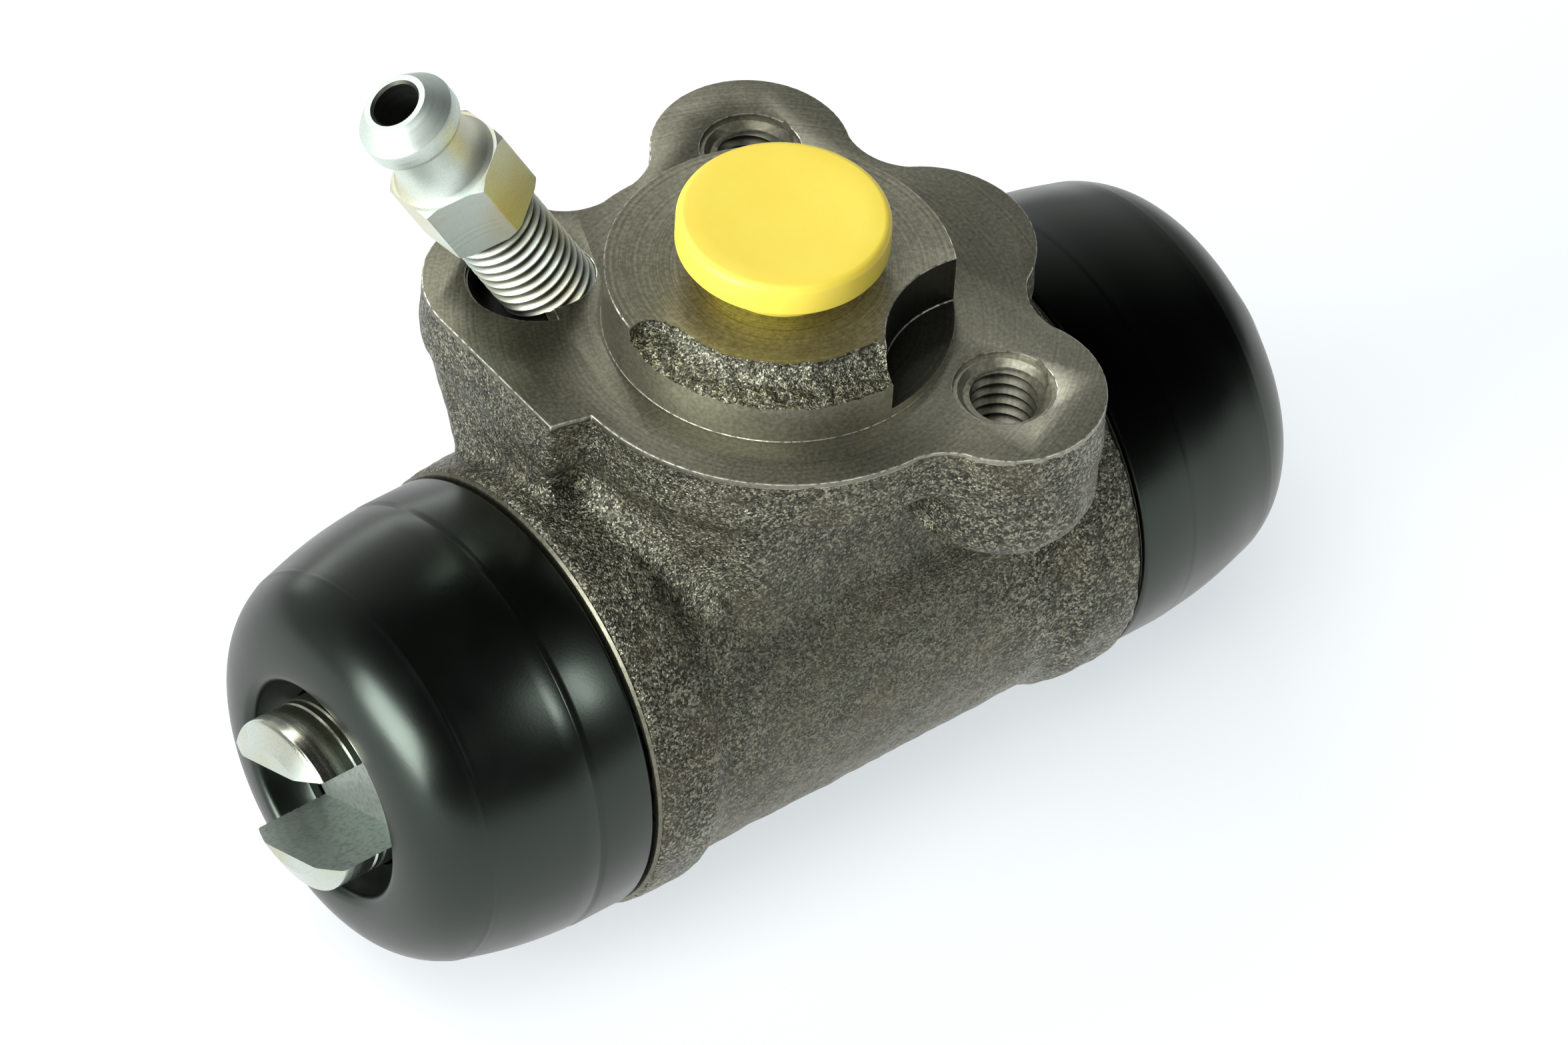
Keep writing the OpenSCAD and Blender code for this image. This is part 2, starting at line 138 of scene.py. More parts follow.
@contextmanager
def choosing(mode: Mode) -> Iterator[None]:
    """Clears the selection of the open mesh, and lets code make a new one.

    Args:
        mode: What is selected.

    Returns:
        A context in which the code sets what is selected.
    """
    bpy.ops.mesh.select_mode(type=mode.value)
    bpy.ops.mesh.select_all(action="DESELECT")
    bpy.ops.object.mode_set(mode="OBJECT")
    yield
    bpy.ops.object.mode_set(mode="EDIT")


def select_points(obj: Piece, rule: Callable[[Vector], bool]) -> None:
    """Selects vertices of the open mesh.

    Args:
        obj: The mesh object in edit mode.
        rule: Test of a vertex by its place in millimetres.
    """
    with choosing(Mode.POINTS):
        for vertex in obj.data.vertices:
            vertex.select = rule(vertex.co / MM)


def select_faces(obj: Piece, rule: Rule) -> None:
    """Selects faces of the open mesh.

    Args:
        obj: The mesh object in edit mode.
        rule: Test of a face by its centre in millimetres and its normal.
    """
    with choosing(Mode.FACES):
        for face in obj.data.polygons:
            face.select = rule(face.center / MM, face.normal)


def close_up(obj: Piece) -> None:
    """Merges the doubles of a mesh and turns all its faces outwards.

    Args:
        obj: The mesh object.
    """
    with editing(obj):
        bpy.ops.mesh.remove_doubles(threshold=WELD)
        bpy.ops.mesh.normals_make_consistent(inside=False)


def put(obj: Piece, place: Matrix) -> Piece:
    """Moves a shape to its place and applies that to its mesh.

    Args:
        obj: The shape.
        place: Where it goes.

    Returns:
        The same object.
    """
    obj.matrix_world = place
    pick(obj)
    bpy.ops.object.transform_apply(location=True, rotation=True, scale=True)
    return obj


def fuse(work: Piece, parts: Sequence[Piece]) -> None:
    """Gathers meshes in one object, without cutting them.

    Args:
        work: The object that is kept.
        parts: The objects that go into it.
    """
    pick(work)
    for part in parts:
        part.select_set(True)
    bpy.ops.object.join()


def apply_modifier(obj: Piece, kind: str, **settings: object) -> None:
    """Adds a modifier to an object and applies it.

    Args:
        obj: The mesh object.
        kind: Blender's name of the modifier type.
        settings: Properties of the modifier.
    """
    modifier = obj.modifiers.new(kind.title(), kind)
    for key, value in settings.items():
        setattr(modifier, key, value)
    pick(obj)
    bpy.ops.object.modifier_apply(modifier=modifier.name)


def combine(work: Piece, tool: Piece, how: Cut) -> None:
    """Cuts, joins or intersects the work with a tool, which is used up.

    Args:
        work: The closed mesh that is kept.
        tool: The closed mesh that is combined with it; its finish goes on the new faces.
        how: The kind of cut.
    """
    apply_modifier(work, "BOOLEAN", operation=how.value, object=tool, solver="MANIFOLD",
                   material_mode="TRANSFER")
    bpy.data.objects.remove(tool)


def cad_copy(node: str, name: str) -> Piece:
    """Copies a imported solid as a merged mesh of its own.

    Args:
        node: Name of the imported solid.
        name: Name of the copy.

    Returns:
        The new object, with no finish yet.
    """
    obj = bpy.data.objects.new(name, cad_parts[node].data.copy())
    bpy.context.scene.collection.objects.link(obj)
    obj.data.materials.clear()
    with editing(obj):
        bpy.ops.mesh.customdata_custom_splitnormals_clear()
        bpy.ops.mesh.remove_doubles(threshold=WELD)
    return obj


def sketch(name: str, profile: Profile) -> Piece:
    """Draws a profile in the XZ plane by extruding one vertex from point to point.

    Args:
        name: Name of the new object.
        profile: Points as (distance from the axis, height along it).

    Returns:
        An open line of edges.
    """
    bpy.ops.object.select_all(action="DESELECT")
    bpy.ops.mesh.primitive_plane_add(size=MM)
    obj = bpy.context.object
    obj.name = name
    with editing(obj):
        bpy.ops.mesh.merge(type="CENTER")
        bpy.ops.transform.translate(value=(profile[0][0] * MM, 0, profile[0][1] * MM))
        for (r0, z0), (r1, z1) in zip(profile, profile[1:]):
            step = ((r1 - r0) * MM, 0, (z1 - z0) * MM)
            bpy.ops.mesh.extrude_region_move(TRANSFORM_OT_translate={"value": step})
    return obj


def turned(name: str, profile: Profile, place: Matrix = Matrix(), steps: int = 128) -> Piece:
    """Turns a profile into a closed solid on its axis.

    Args:
        name: Name of the new object.
        profile: Points as (radius, height); it starts and ends on the axis, or is a closed loop.
        place: Where the turning axis goes.
        steps: Facets round the axis.

    Returns:
        The solid, in place.
    """
    obj = sketch(name, profile)
    with editing(obj):
        bpy.ops.mesh.spin(steps=steps, angle=math.tau, center=(0, 0, 0), axis=(0, 0, 1))
    close_up(obj)
    return put(obj, place)


def block(name: str, low: Sequence[float], high: Sequence[float]) -> Piece:
    """Makes a box-shaped tool.

    Args:
        name: Name of the new object.
        low: Its lowest corner.
        high: Its highest corner.

    Returns:
        The box.
    """
    bpy.ops.object.select_all(action="DESELECT")
    bpy.ops.mesh.primitive_cube_add(size=1)
    obj = bpy.context.object
    obj.name = name
    with editing(obj):
        bpy.ops.transform.resize(value=[(h - l) * MM for l, h in zip(low, high)])
        bpy.ops.transform.translate(value=[(h + l) / 2 * MM for l, h in zip(low, high)])
    return obj


def rod(name: str, radius: float, low: float, high: float, place: Matrix = Matrix()) -> Piece:
    """Makes a plain round tool between two heights on its axis."""
    return turned(name, [(0, low), (radius, low), (radius, high), (0, high)], place, 96)


def thread(name: str, root: float, crest: float, low: float, high: float, place: Matrix) -> Piece:
    """Winds one continuous ridge with a pitch of a millimetre.

    Args:
        name: Name of the new object.
        root: Radius at which the ridge stands, a little inside what carries it.
        crest: Radius of the crest; below root for a thread in a hole.
        low: Height of the first turn.
        high: Height at which the last turn ends.
        place: Where the thread's axis goes.

    Returns:
        A closed ridge, ready to be joined to its carrier.
    """
    foot, top = 0.47, 0.06
    obj = sketch(name, [(root, low - foot), (crest, low - top), (crest, low + top), (root, low + foot)])
    with editing(obj):
        bpy.ops.mesh.edge_face_add()
        bpy.ops.mesh.delete(type="ONLY_FACE")
    apply_modifier(obj, "SCREW", angle=math.tau, screw_offset=MM, iterations=round(high - low),
                   steps=48, render_steps=48, use_merge_vertices=False)
    with editing(obj):
        bpy.ops.mesh.select_all(action="DESELECT")
        bpy.ops.mesh.select_non_manifold()
        bpy.ops.mesh.fill_holes(sides=4)
    close_up(obj)
    return put(obj, place)


def remesh(obj: Piece, voxel: float, passes: int) -> None:
    """Rebuilds a mesh as one even skin of that voxel size, and softens its corners."""
    apply_modifier(obj, "REMESH", mode="VOXEL", voxel_size=voxel * MM)
    apply_modifier(obj, "SMOOTH", factor=0.5, iterations=passes)


def roughen(obj: Piece, *lumps: Point) -> None:
    """Raises and lowers a mesh by cloud patterns.

    Args:
        obj: The mesh object.
        lumps: Grain size and height of each pattern.
    """
    for size, height in lumps:
        cloud = bpy.data.textures.new(f"{obj.name}_cloud", "CLOUDS")
        cloud.noise_scale = size * MM
        cloud.noise_depth = 2
        apply_modifier(obj, "DISPLACE", texture=cloud, texture_coords="LOCAL", strength=height * MM,
                       mid_level=0.5)


def arc(centre: Point, radius: float, start: float, end: float, count: int) -> list[Point]:
    """Points along an arc of a profile, from one angle to another in that many steps."""
    turns = [math.radians(start + (end - start) * i / count) for i in range(count + 1)]
    return [(centre[0] + radius * math.cos(t), centre[1] + radius * math.sin(t)) for t in turns]


def sweep(start: Point, bend: Point, end: Point) -> list[Point]:
    """Points along a smooth bend of a profile that leaves and meets its two straight legs.

    Args:
        start: First point.
        bend: Where the legs would meet.
        end: Last point.

    Returns:
        Nine points.
    """
    count = 8
    points = []
    for i in range(count + 1):
        t = i / count
        points.append(tuple((1 - t) ** 2 * a + 2 * t * (1 - t) * b + t * t * c
                            for a, b, c in zip(start, bend, end)))
    return points


def smooth_shade(obj: Piece, angle: float) -> None:
    """Shades a mesh smooth up to an angle between faces."""
    pick(obj)
    bpy.ops.object.shade_smooth_by_angle(angle=math.radians(angle))


def sloping(part: float) -> bool:
    """Whether a normal's part along an axis belongs to a chamfer."""
    return 0.1 < abs(part) < 0.9


def shift(x: float, y: float, z: float) -> Matrix:
    """A move by that many millimetres."""
    return Matrix.Translation((x * MM, y * MM, z * MM))


def turn(angle: float, axis: str) -> Matrix:
    """A turn by that many degrees about the X, Y or Z axis."""
    return Matrix.Rotation(math.radians(angle), 4, axis)


AXIS_Z = -25.5
AXIS = shift(0, 0, AXIS_Z)


def on_bore(side: Side) -> Matrix:
    """Place of a piece that is turned on the bore, with its height towards that side."""
    return AXIS @ turn(90 * side.value, "Y")


BORE = on_bore(Side.RIGHT)


# Finishes


def toned(colour: Sequence[float], level: float) -> list[float]:
    """A linear colour made paler or darker, with full cover."""
    return [level * part for part in colour] + [1]


class Graph:
    """A node tree, with short calls for the nodes that the finishes use."""

    def __init__(self, owner: bpy.types.Material | bpy.types.World, place: str = "Object") -> None:
        """Opens a node tree.

        Args:
            owner: The material or world that has the tree.
            place: The texture coordinate that patterns read.
        """
        owner.use_nodes = True
        self.owner = owner
        self.nodes = owner.node_tree.nodes
        self.links = owner.node_tree.links
        self.place = self.nodes.new("ShaderNodeTexCoord").outputs[place]

    @property
    def shader(self) -> bpy.types.Node:
        """The material's main shader."""
        return self.nodes["Principled BSDF"]

    def node(self, kind: str, *feeds: object, **settings: object) -> bpy.types.Node:
        """Adds a node.

        Args:
            kind: Blender's name of the node type, without its ShaderNode start.
            feeds: Values or sockets for its first inputs, in order; None leaves one alone.
            settings: Properties of the node.

        Returns:
            The node.
        """
        node = self.nodes.new("ShaderNode" + kind)
        for key, value in settings.items():
            setattr(node, key, value)
        for socket, feed in zip(node.inputs, feeds):
            self.feed(socket, feed)
        return node

    def feed(self, socket: Socket, value: object) -> None:
        """Links a socket, or sets a value, on an input.

        Args:
            socket: The input.
            value: A socket, a value, or None to leave the input alone.
        """
        if isinstance(value, bpy.types.NodeSocket):
            self.links.new(value, socket)
        elif value is not None:
            socket.default_value = value

    def noise(self, size: float, detail: float = 2, where: Socket | None = None) -> Socket:
        """Cloudy noise.

        Args:
            size: About the size of its spots.
            detail: Finer layers in it.
            where: Coordinate that it reads, if not the usual one.

        Returns:
            A value from 0 to 1, mostly between 0.3 and 0.7.
        """
        node = self.node("TexNoise", where or self.place)
        node.inputs["Scale"].default_value = 1 / (size * MM)
        node.inputs["Detail"].default_value = detail
        return node.outputs["Fac"]

    def cells(self, size: float) -> Socket:
        """A random grey for each grain.

        Args:
            size: About the size of the grains.

        Returns:
            A value from 0 to 1.
        """
        node = self.node("TexVoronoi", self.place)
        node.inputs["Scale"].default_value = 1 / (size * MM)
        return self.node("SeparateColor", node.outputs["Color"]).outputs["Red"]

    def math(self, how: str, a: object, b: object = None) -> Socket:
        """One arithmetic step between sockets or numbers."""
        return self.node("Math", a, b, operation=how).outputs[0]

    def times(self, a: object, b: object) -> Socket:
        """The product of two sockets or numbers."""
        return self.math("MULTIPLY", a, b)

    def add(self, first: object, *others: object) -> Socket:
        """The sum of sockets or numbers.

        Args:
            first: The first of them.
            others: The rest, in order.

        Returns:
            The sum.
        """
        for other in others:
            first = self.math("ADD", first, other)
        return first

    def ramp(self, value: Socket, *stops: tuple[float, Sequence[float]]) -> Socket:
        """Colours a value.

        Args:
            value: The value, from 0 to 1.
            stops: Position and linear colour of each stop.

        Returns:
            The colour.
        """
        node = self.node("ValToRGB", value)
        while len(node.color_ramp.elements) < len(stops):
            node.color_ramp.elements.new(0.5)
        for element, (position, colour) in zip(node.color_ramp.elements, stops):
            element.position = position
            element.color = (*colour[:3], 1)
        return node.outputs["Color"]

    def span(self, value: Socket, low: float, high: float, start: float = 0.3, end: float = 0.7) -> Socket:
        """Stretches a value from start and end, as noise has them, to low and high, and holds it there."""
        return self.node("MapRange", value, start, end, low, high).outputs[0]

    def mix(self, share: object, a: object, b: object) -> Socket:
        """Blends two colours.

        Args:
            share: Share of the second, from 0 to 1.
            a: The first colour.
            b: The second colour.

        Returns:
            The colour.
        """
        node = self.node("Mix", share, data_type="RGBA")
        self.feed(node.inputs[6], a)
        self.feed(node.inputs[7], b)
        return node.outputs[2]

    def bump(self, height: Socket, depth: float, strength: float, below: Socket | None = None) -> Socket:
        """Turns a height into relief.

        Args:
            height: The height, from 0 to 1.
            depth: Depth of the relief.
            strength: Share of it that shows.
            below: Relief that it lies on.

        Returns:
            The normal.
        """
        node = self.node("Bump")
        node.inputs["Strength"].default_value = strength
        node.inputs["Distance"].default_value = depth * MM
        self.feed(node.inputs["Height"], height)
        self.feed(node.inputs["Normal"], below)
        return node.outputs["Normal"]

    def turning(self, axis: Matrix) -> tuple[Socket, Socket]:
        """Distance from an axis and height along it, in metres, for marks that run round it.

        Args:
            axis: Place of the axis, which is the matrix's Z.

        Returns:
            The distance and the height.
        """
        back = axis.inverted()
        node = self.node("Mapping", self.place)
        node.inputs["Location"].default_value = back.to_translation()
        node.inputs["Rotation"].default_value = back.to_euler()
        parts = self.node("SeparateXYZ", node.outputs[0]).outputs
        squares = [self.times(part, part) for part in parts[:2]]
        return self.math("SQRT", self.add(*squares)), parts[2]

    def away(self, at: Point) -> Socket:
        """Distance in metres from an upright axis through a point of the milled face."""
        return self.turning(shift(*at, 0))[0]

    def rings(self, value: Socket, size: float) -> Socket:
        """Fine uneven lines across a distance, of about that width."""
        return self.noise(size, where=self.node("CombineXYZ", value).outputs[0])

    def surface(self, colour: object, roughness: object, metallic: float,
                normal: Socket | None = None) -> None:
        """Feeds the shader's main inputs.

        Args:
            colour: Base colour.
            roughness: Roughness, from 0 to 1.
            metallic: Share of bare metal, from 0 to 1.
            normal: Relief, if any.
        """
        inputs = self.shader.inputs
        self.feed(inputs["Base Color"], colour)
        self.feed(inputs["Roughness"], roughness)
        self.feed(inputs["Metallic"], metallic)
        self.feed(inputs["Normal"], normal)


FINISHED: dict[str, bpy.types.Material] = {}


@dataclass(frozen=True)
class Finish:
    """A surface finish, made once and shared by the pieces that have it."""

    name: str

    def draw(self, graph: Graph) -> None:
        """Fills the graph of this finish."""
        raise NotImplementedError

    def material(self) -> bpy.types.Material:
        """Makes the finish on first use.

        Returns:
            The finish as a material.
        """
        if self.name not in FINISHED:
            graph = Graph(bpy.data.materials.new(self.name))
            self.draw(graph)
            FINISHED[self.name] = graph.owner
        return FINISHED[self.name]


@dataclass(frozen=True)
class CastIron(Finish):
    """Sand-cast skin: dark pits and bright grains over a warm grey, calmer on the middle of the barrel; the
    stronger bright grains elsewhere are partly painted glints.
    """

    grain: float = 0.18
    relief: float = 0.3
    pale: float = 1.0
    rust: float = 0.3
    tint: Spot = (1.0, 1.01, 0.75)
    rust_tint: Spot = (0.135, 0.115, 0.075)
    calm_x: float = -2.5
    calm_reach: Point = (8.5, 15.5)
    calm_z: Point = (-15.0, -8.0)

    def draw(self, graph: Graph) -> None:
        """Speckled grains, slow stains and a rough relief.

        Args:
            graph: The node tree to fill.
        """
        sand = graph.noise(self.grain * 0.8, 1)
        mixed = graph.add(graph.times(graph.cells(self.grain), 0.5), graph.times(sand, 0.5),
                          graph.span(graph.noise(3.2, 3), -0.05, 0.05))
        calm = self.tones(graph, mixed, (0.27, 0.064), (0.5, 0.118), (0.76, 0.24))
        # away from the barrel's middle the grains get more contrast: partly real grain, partly painted
        # glints where light rakes the casting
        strong = self.tones(graph, mixed, (0.28, 0.030), (0.45, 0.078), (0.58, 0.132), (0.76, 0.36))
        where = graph.node("SeparateXYZ", graph.place).outputs
        along = graph.math("ABSOLUTE", graph.add(where["X"], -self.calm_x * MM))
        ends = graph.span(along, 0.0, 1.0, *(x * MM for x in self.calm_reach))
        top = graph.span(where["Z"], 0.0, 1.0, *(z * MM for z in self.calm_z))
        colour = graph.mix(graph.math("MAXIMUM", ends, top), calm, strong)
        lumps = graph.bump(graph.noise(1.1), 0.25, 0.5, graph.bump(mixed, self.relief, 0.9))
        rust = graph.span(graph.noise(5), 0.0, self.rust, 0.48, 0.68)
        colour = graph.mix(rust, colour, toned(self.rust_tint, self.pale))
        graph.surface(colour, graph.span(sand, 0.50, 0.27, 0.0, 1.0), 0.85, lumps)

    def tones(self, graph: Graph, value: Socket, *stops: Point) -> Socket:
        """Turns a grey value into the iron's warm greys, by stops of position and level."""
        return graph.ramp(value, *((at, toned(self.tint, self.pale * level)) for at, level in stops))


@dataclass(frozen=True)
class MilledIron(Finish):
    """Turned iron with fine arcs round the boss and a few open pores, with a painted sheen at the front lug
    and painted shade at the left ear.
    """

    pale: float = 1.0
    lines: float = 0.13
    centre: Point = (0.0, 0.0)
    # Painted sheen round the front lug and painted shade round the left ear, each fading out between its
    # two reach distances
    lug: Point = (9.0, -15.0)
    lug_reach: Point = (4.0, 12.0)
    ear: Point = (-15.0, 8.0)
    ear_reach: Point = (6.0, 16.0)
    tones: tuple[tuple[float, Spot], ...] = (
        (0.15, (0.12, 0.119, 0.084)), (0.5, (0.225, 0.223, 0.166)),
        (0.85, (0.36, 0.357, 0.275)), (1.0, (0.46, 0.455, 0.36)))

    def draw(self, graph: Graph) -> None:
        """Arcs round the axis, graphite specks, slow clouds of tone, a painted sheen near the front lug and
        painted shade near the left ear.

        Args:
            graph: The node tree to fill.
        """
        marks = graph.rings(graph.away(self.centre), 0.22)
        specks = graph.noise(0.3, 3)
        shade = graph.add(graph.span(marks, -self.lines, self.lines),
                          graph.span(graph.noise(7), 0.42, 0.58), graph.span(specks, -0.2, 0.12),
                          # painted sheen near the front lug and painted shade near the left ear
                          graph.span(graph.away(self.lug), 0.40, 0.0, *(r * MM for r in self.lug_reach)),
                          graph.span(graph.away(self.ear), -0.22, 0.0, *(r * MM for r in self.ear_reach)))
        colour = graph.ramp(shade, *((at, toned(tone, self.pale)) for at, tone in self.tones))
        relief = graph.bump(marks, 0.006, 0.6, graph.bump(specks, 0.012, 0.4))
        graph.surface(colour, graph.span(specks, 0.36, 0.42), 0.85, relief)


@dataclass(frozen=True)
class BrightEdge(Finish):
    """Worn arris of a machined face, bright and a little broken; its brightness is partly a painted
    highlight.
    """

    def draw(self, graph: Graph) -> None:
        """Bright metal with duller nicks.

        Args:
            graph: The node tree to fill.
        """
        nicks = graph.noise(0.5, 3)
        colour = graph.ramp(nicks, (0.38, (0.16, 0.158, 0.125)), (0.60, (0.74, 0.73, 0.64)))
        graph.surface(colour, graph.span(nicks, 0.5, 0.26, 0.35, 0.6), 0.8, graph.bump(nicks, 0.05, 0.5))


@dataclass(frozen=True)
class ZincPlate(Finish):
    """Satin zinc with turning lines round an axis and a faint olive bloom."""

    axis: Matrix = Matrix()
    lines: float = 0.3
    depth: float = 0.02
    tone: float = 1.0
    rough: float = 0.40
    metal: float = 0.88
    grain: float = 0.12
    mottle: float = 0.22
    white_above: float = 99.0
    thread_top: float = -99.0
    thread_root: float = 3.14
    thread_crest: float = 3.42
    white: Spot = (0.62, 0.70, 0.64)
    olive: Spot = (0.60, 0.59, 0.44)
    dull: Spot = (0.30, 0.33, 0.28)
    # Colour of the painted shade in the thread's roots
    dirt: Spot = (0.022, 0.020, 0.011)

    def draw(self, graph: Graph) -> None:
        """Lines across the axis, a slow olive bloom, a fine grain and painted shade in the thread's roots,
        if any.

        Args:
            graph: The node tree to fill.
        """
        radius, height = graph.turning(self.axis)
        marks = graph.rings(graph.add(height, graph.times(radius, 0.7)), self.lines)
        grain = graph.noise(self.grain)
        white, olive, dull = (toned(tint, self.tone) for tint in (self.white, self.olive, self.dull))
        bloom = graph.times(graph.math("LESS_THAN", height, self.white_above * MM),
                            graph.span(graph.noise(5, 1), 0.0, 0.85, 0.36, 0.60))
        spots = graph.span(grain, self.mottle, 0.0, 0.30, 0.55)
        colour = graph.mix(spots, graph.mix(bloom, white, olive), dull)
        # painted shade: the thread's roots darken below the thread's top
        deep = graph.span(radius, 0.95, 0.12, self.thread_root * MM, self.thread_crest * MM)
        dirt = graph.times(graph.math("LESS_THAN", height, self.thread_top * MM), deep)
        colour = graph.mix(dirt, colour, toned(self.dirt, 1.0))
        rough = graph.add(graph.span(marks, self.rough, self.rough + 0.1), graph.span(grain, 0.04, -0.04))
        graph.surface(colour, rough, self.metal, graph.bump(marks, self.depth, 0.4))


@dataclass(frozen=True)
class BlackRubber(Finish):
    """Moulded black rubber with a soft gloss."""

    tint: Spot = (0.0022, 0.0026, 0.0024)
    gloss: float = 0.29
    sheen_tint: Spot = (0.82, 1.0, 0.86)

    def draw(self, graph: Graph) -> None:
        """Slow changes of gloss, a faint bloom and a fine moulded skin.

        Args:
            graph: The node tree to fill.
        """
        bloom = graph.noise(6)
        share = graph.span(bloom, 0.0, 0.5, 0.4, 0.75)
        colour = graph.mix(share, toned(self.tint, 1.0), toned(self.tint, 1.6))
        graph.shader.inputs["Specular IOR Level"].default_value = 0.7
        graph.shader.inputs["Specular Tint"].default_value = toned(self.sheen_tint, 1.0)
        graph.surface(colour, graph.span(bloom, self.gloss - 0.03, self.gloss + 0.05), 0.0,
                      graph.bump(graph.noise(0.22), 0.010, 0.3))


@dataclass(frozen=True)
class SpringSteel(Finish):
    """Drawn steel wire and pressed sheet with a grey skin."""

    def draw(self, graph: Graph) -> None:
        """Fine drawn marks and dull patches.

        Args:
            graph: The node tree to fill.
        """
        drawn = graph.noise(0.4, 4)
        colour = graph.ramp(drawn, (0.3, (0.30, 0.30, 0.29)), (0.7, (0.58, 0.58, 0.56)))
        graph.surface(colour, graph.span(graph.noise(2.5), 0.25, 0.45), 1.0, graph.bump(drawn, 0.02, 0.4))


@dataclass(frozen=True)
class YellowPlastic(Finish):
    """Soft moulded plastic, warm yellow with a satin skin."""

    def draw(self, graph: Graph) -> None:
        """Slight drifts of colour and a fine satin grain.

        Args:
            graph: The node tree to fill.
        """
        satin = graph.noise(0.25)
        colour = graph.ramp(graph.noise(4.5), (0.3, (0.94, 0.74, 0.083)), (0.7, (0.96, 0.79, 0.105)))
        graph.shader.inputs["Subsurface Weight"].default_value = 0.12
        graph.shader.inputs["Subsurface Scale"].default_value = 1.2 * MM
        graph.surface(colour, graph.span(satin, 0.34, 0.46), 0.0, graph.bump(satin, 0.01, 0.3))


CASTING = CastIron("cast_iron", pale=1.04)
POCKET = CastIron("pocket_iron", 0.16, pale=1.6, rust=0.0)
MILLED = MilledIron("milled_face")
TURNED = MilledIron("turned_boss_iron", 1.2, 0.2)
BORED = MilledIron("bored_iron", 0.8)
# Painted shade: iron darkened for the notch by the bolt head and for the collars' chamfers, which lie in
# shade
SHADED = MilledIron("shaded_iron", 0.13)
# Painted shade: darker iron inside the tapped bolt holes
SHADED_TAPPED = MilledIron("tapped_iron", 0.4)
# Painted shade: near-black iron for the bleed hole, which lies in shade
SHADED_HOLE = MilledIron("dark_hole_iron", 0.04)
EDGE = BrightEdge("bright_edge")
RUBBER = BlackRubber("gloss_black_rubber")
CUP_RUBBER = BlackRubber("dull_black_rubber", (0.018, 0.018, 0.019), 0.4)
STEEL = SpringSteel("drawn_steel")
YELLOW = YellowPlastic("yellow_plastic")


def dress(obj: Piece, finish: Finish) -> None:
    """Gives a whole mesh one finish."""
    obj.data.materials.clear()
    obj.data.materials.append(finish.material())


def paint(obj: Piece, finish: Finish, rule: Rule) -> None:
    """Gives some faces of a mesh another finish.

    Args:
        obj: The mesh object.
        finish: The other finish.
        rule: Test of a face by its centre in millimetres and its normal.
    """
    obj.data.materials.append(finish.material())
    last = len(obj.data.materials) - 1
    for face in obj.data.polygons:
        if rule(face.center / MM, face.normal):
            face.material_index = last


def carve(work: Piece, tool: Piece, finish: Finish) -> None:
    """Cuts a tool out of the work, with that finish on the new faces."""
    dress(tool, finish)
    combine(work, tool, Cut.REMOVE)


def describe(obj: Piece, slot: str, *nodes: str) -> None:
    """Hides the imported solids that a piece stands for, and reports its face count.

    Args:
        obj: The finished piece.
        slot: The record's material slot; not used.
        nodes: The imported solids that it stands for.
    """
    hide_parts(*nodes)
    log.info("%s: %d faces", obj.name, len(obj.data.polygons))


def seat(obj: Piece, body: str, slot: str, *nodes: str) -> None:
    """Lets a rigid piece ride on its body, and describes it."""
    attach(obj, body)
    describe(obj, slot, *nodes)


# Sub-assemblies


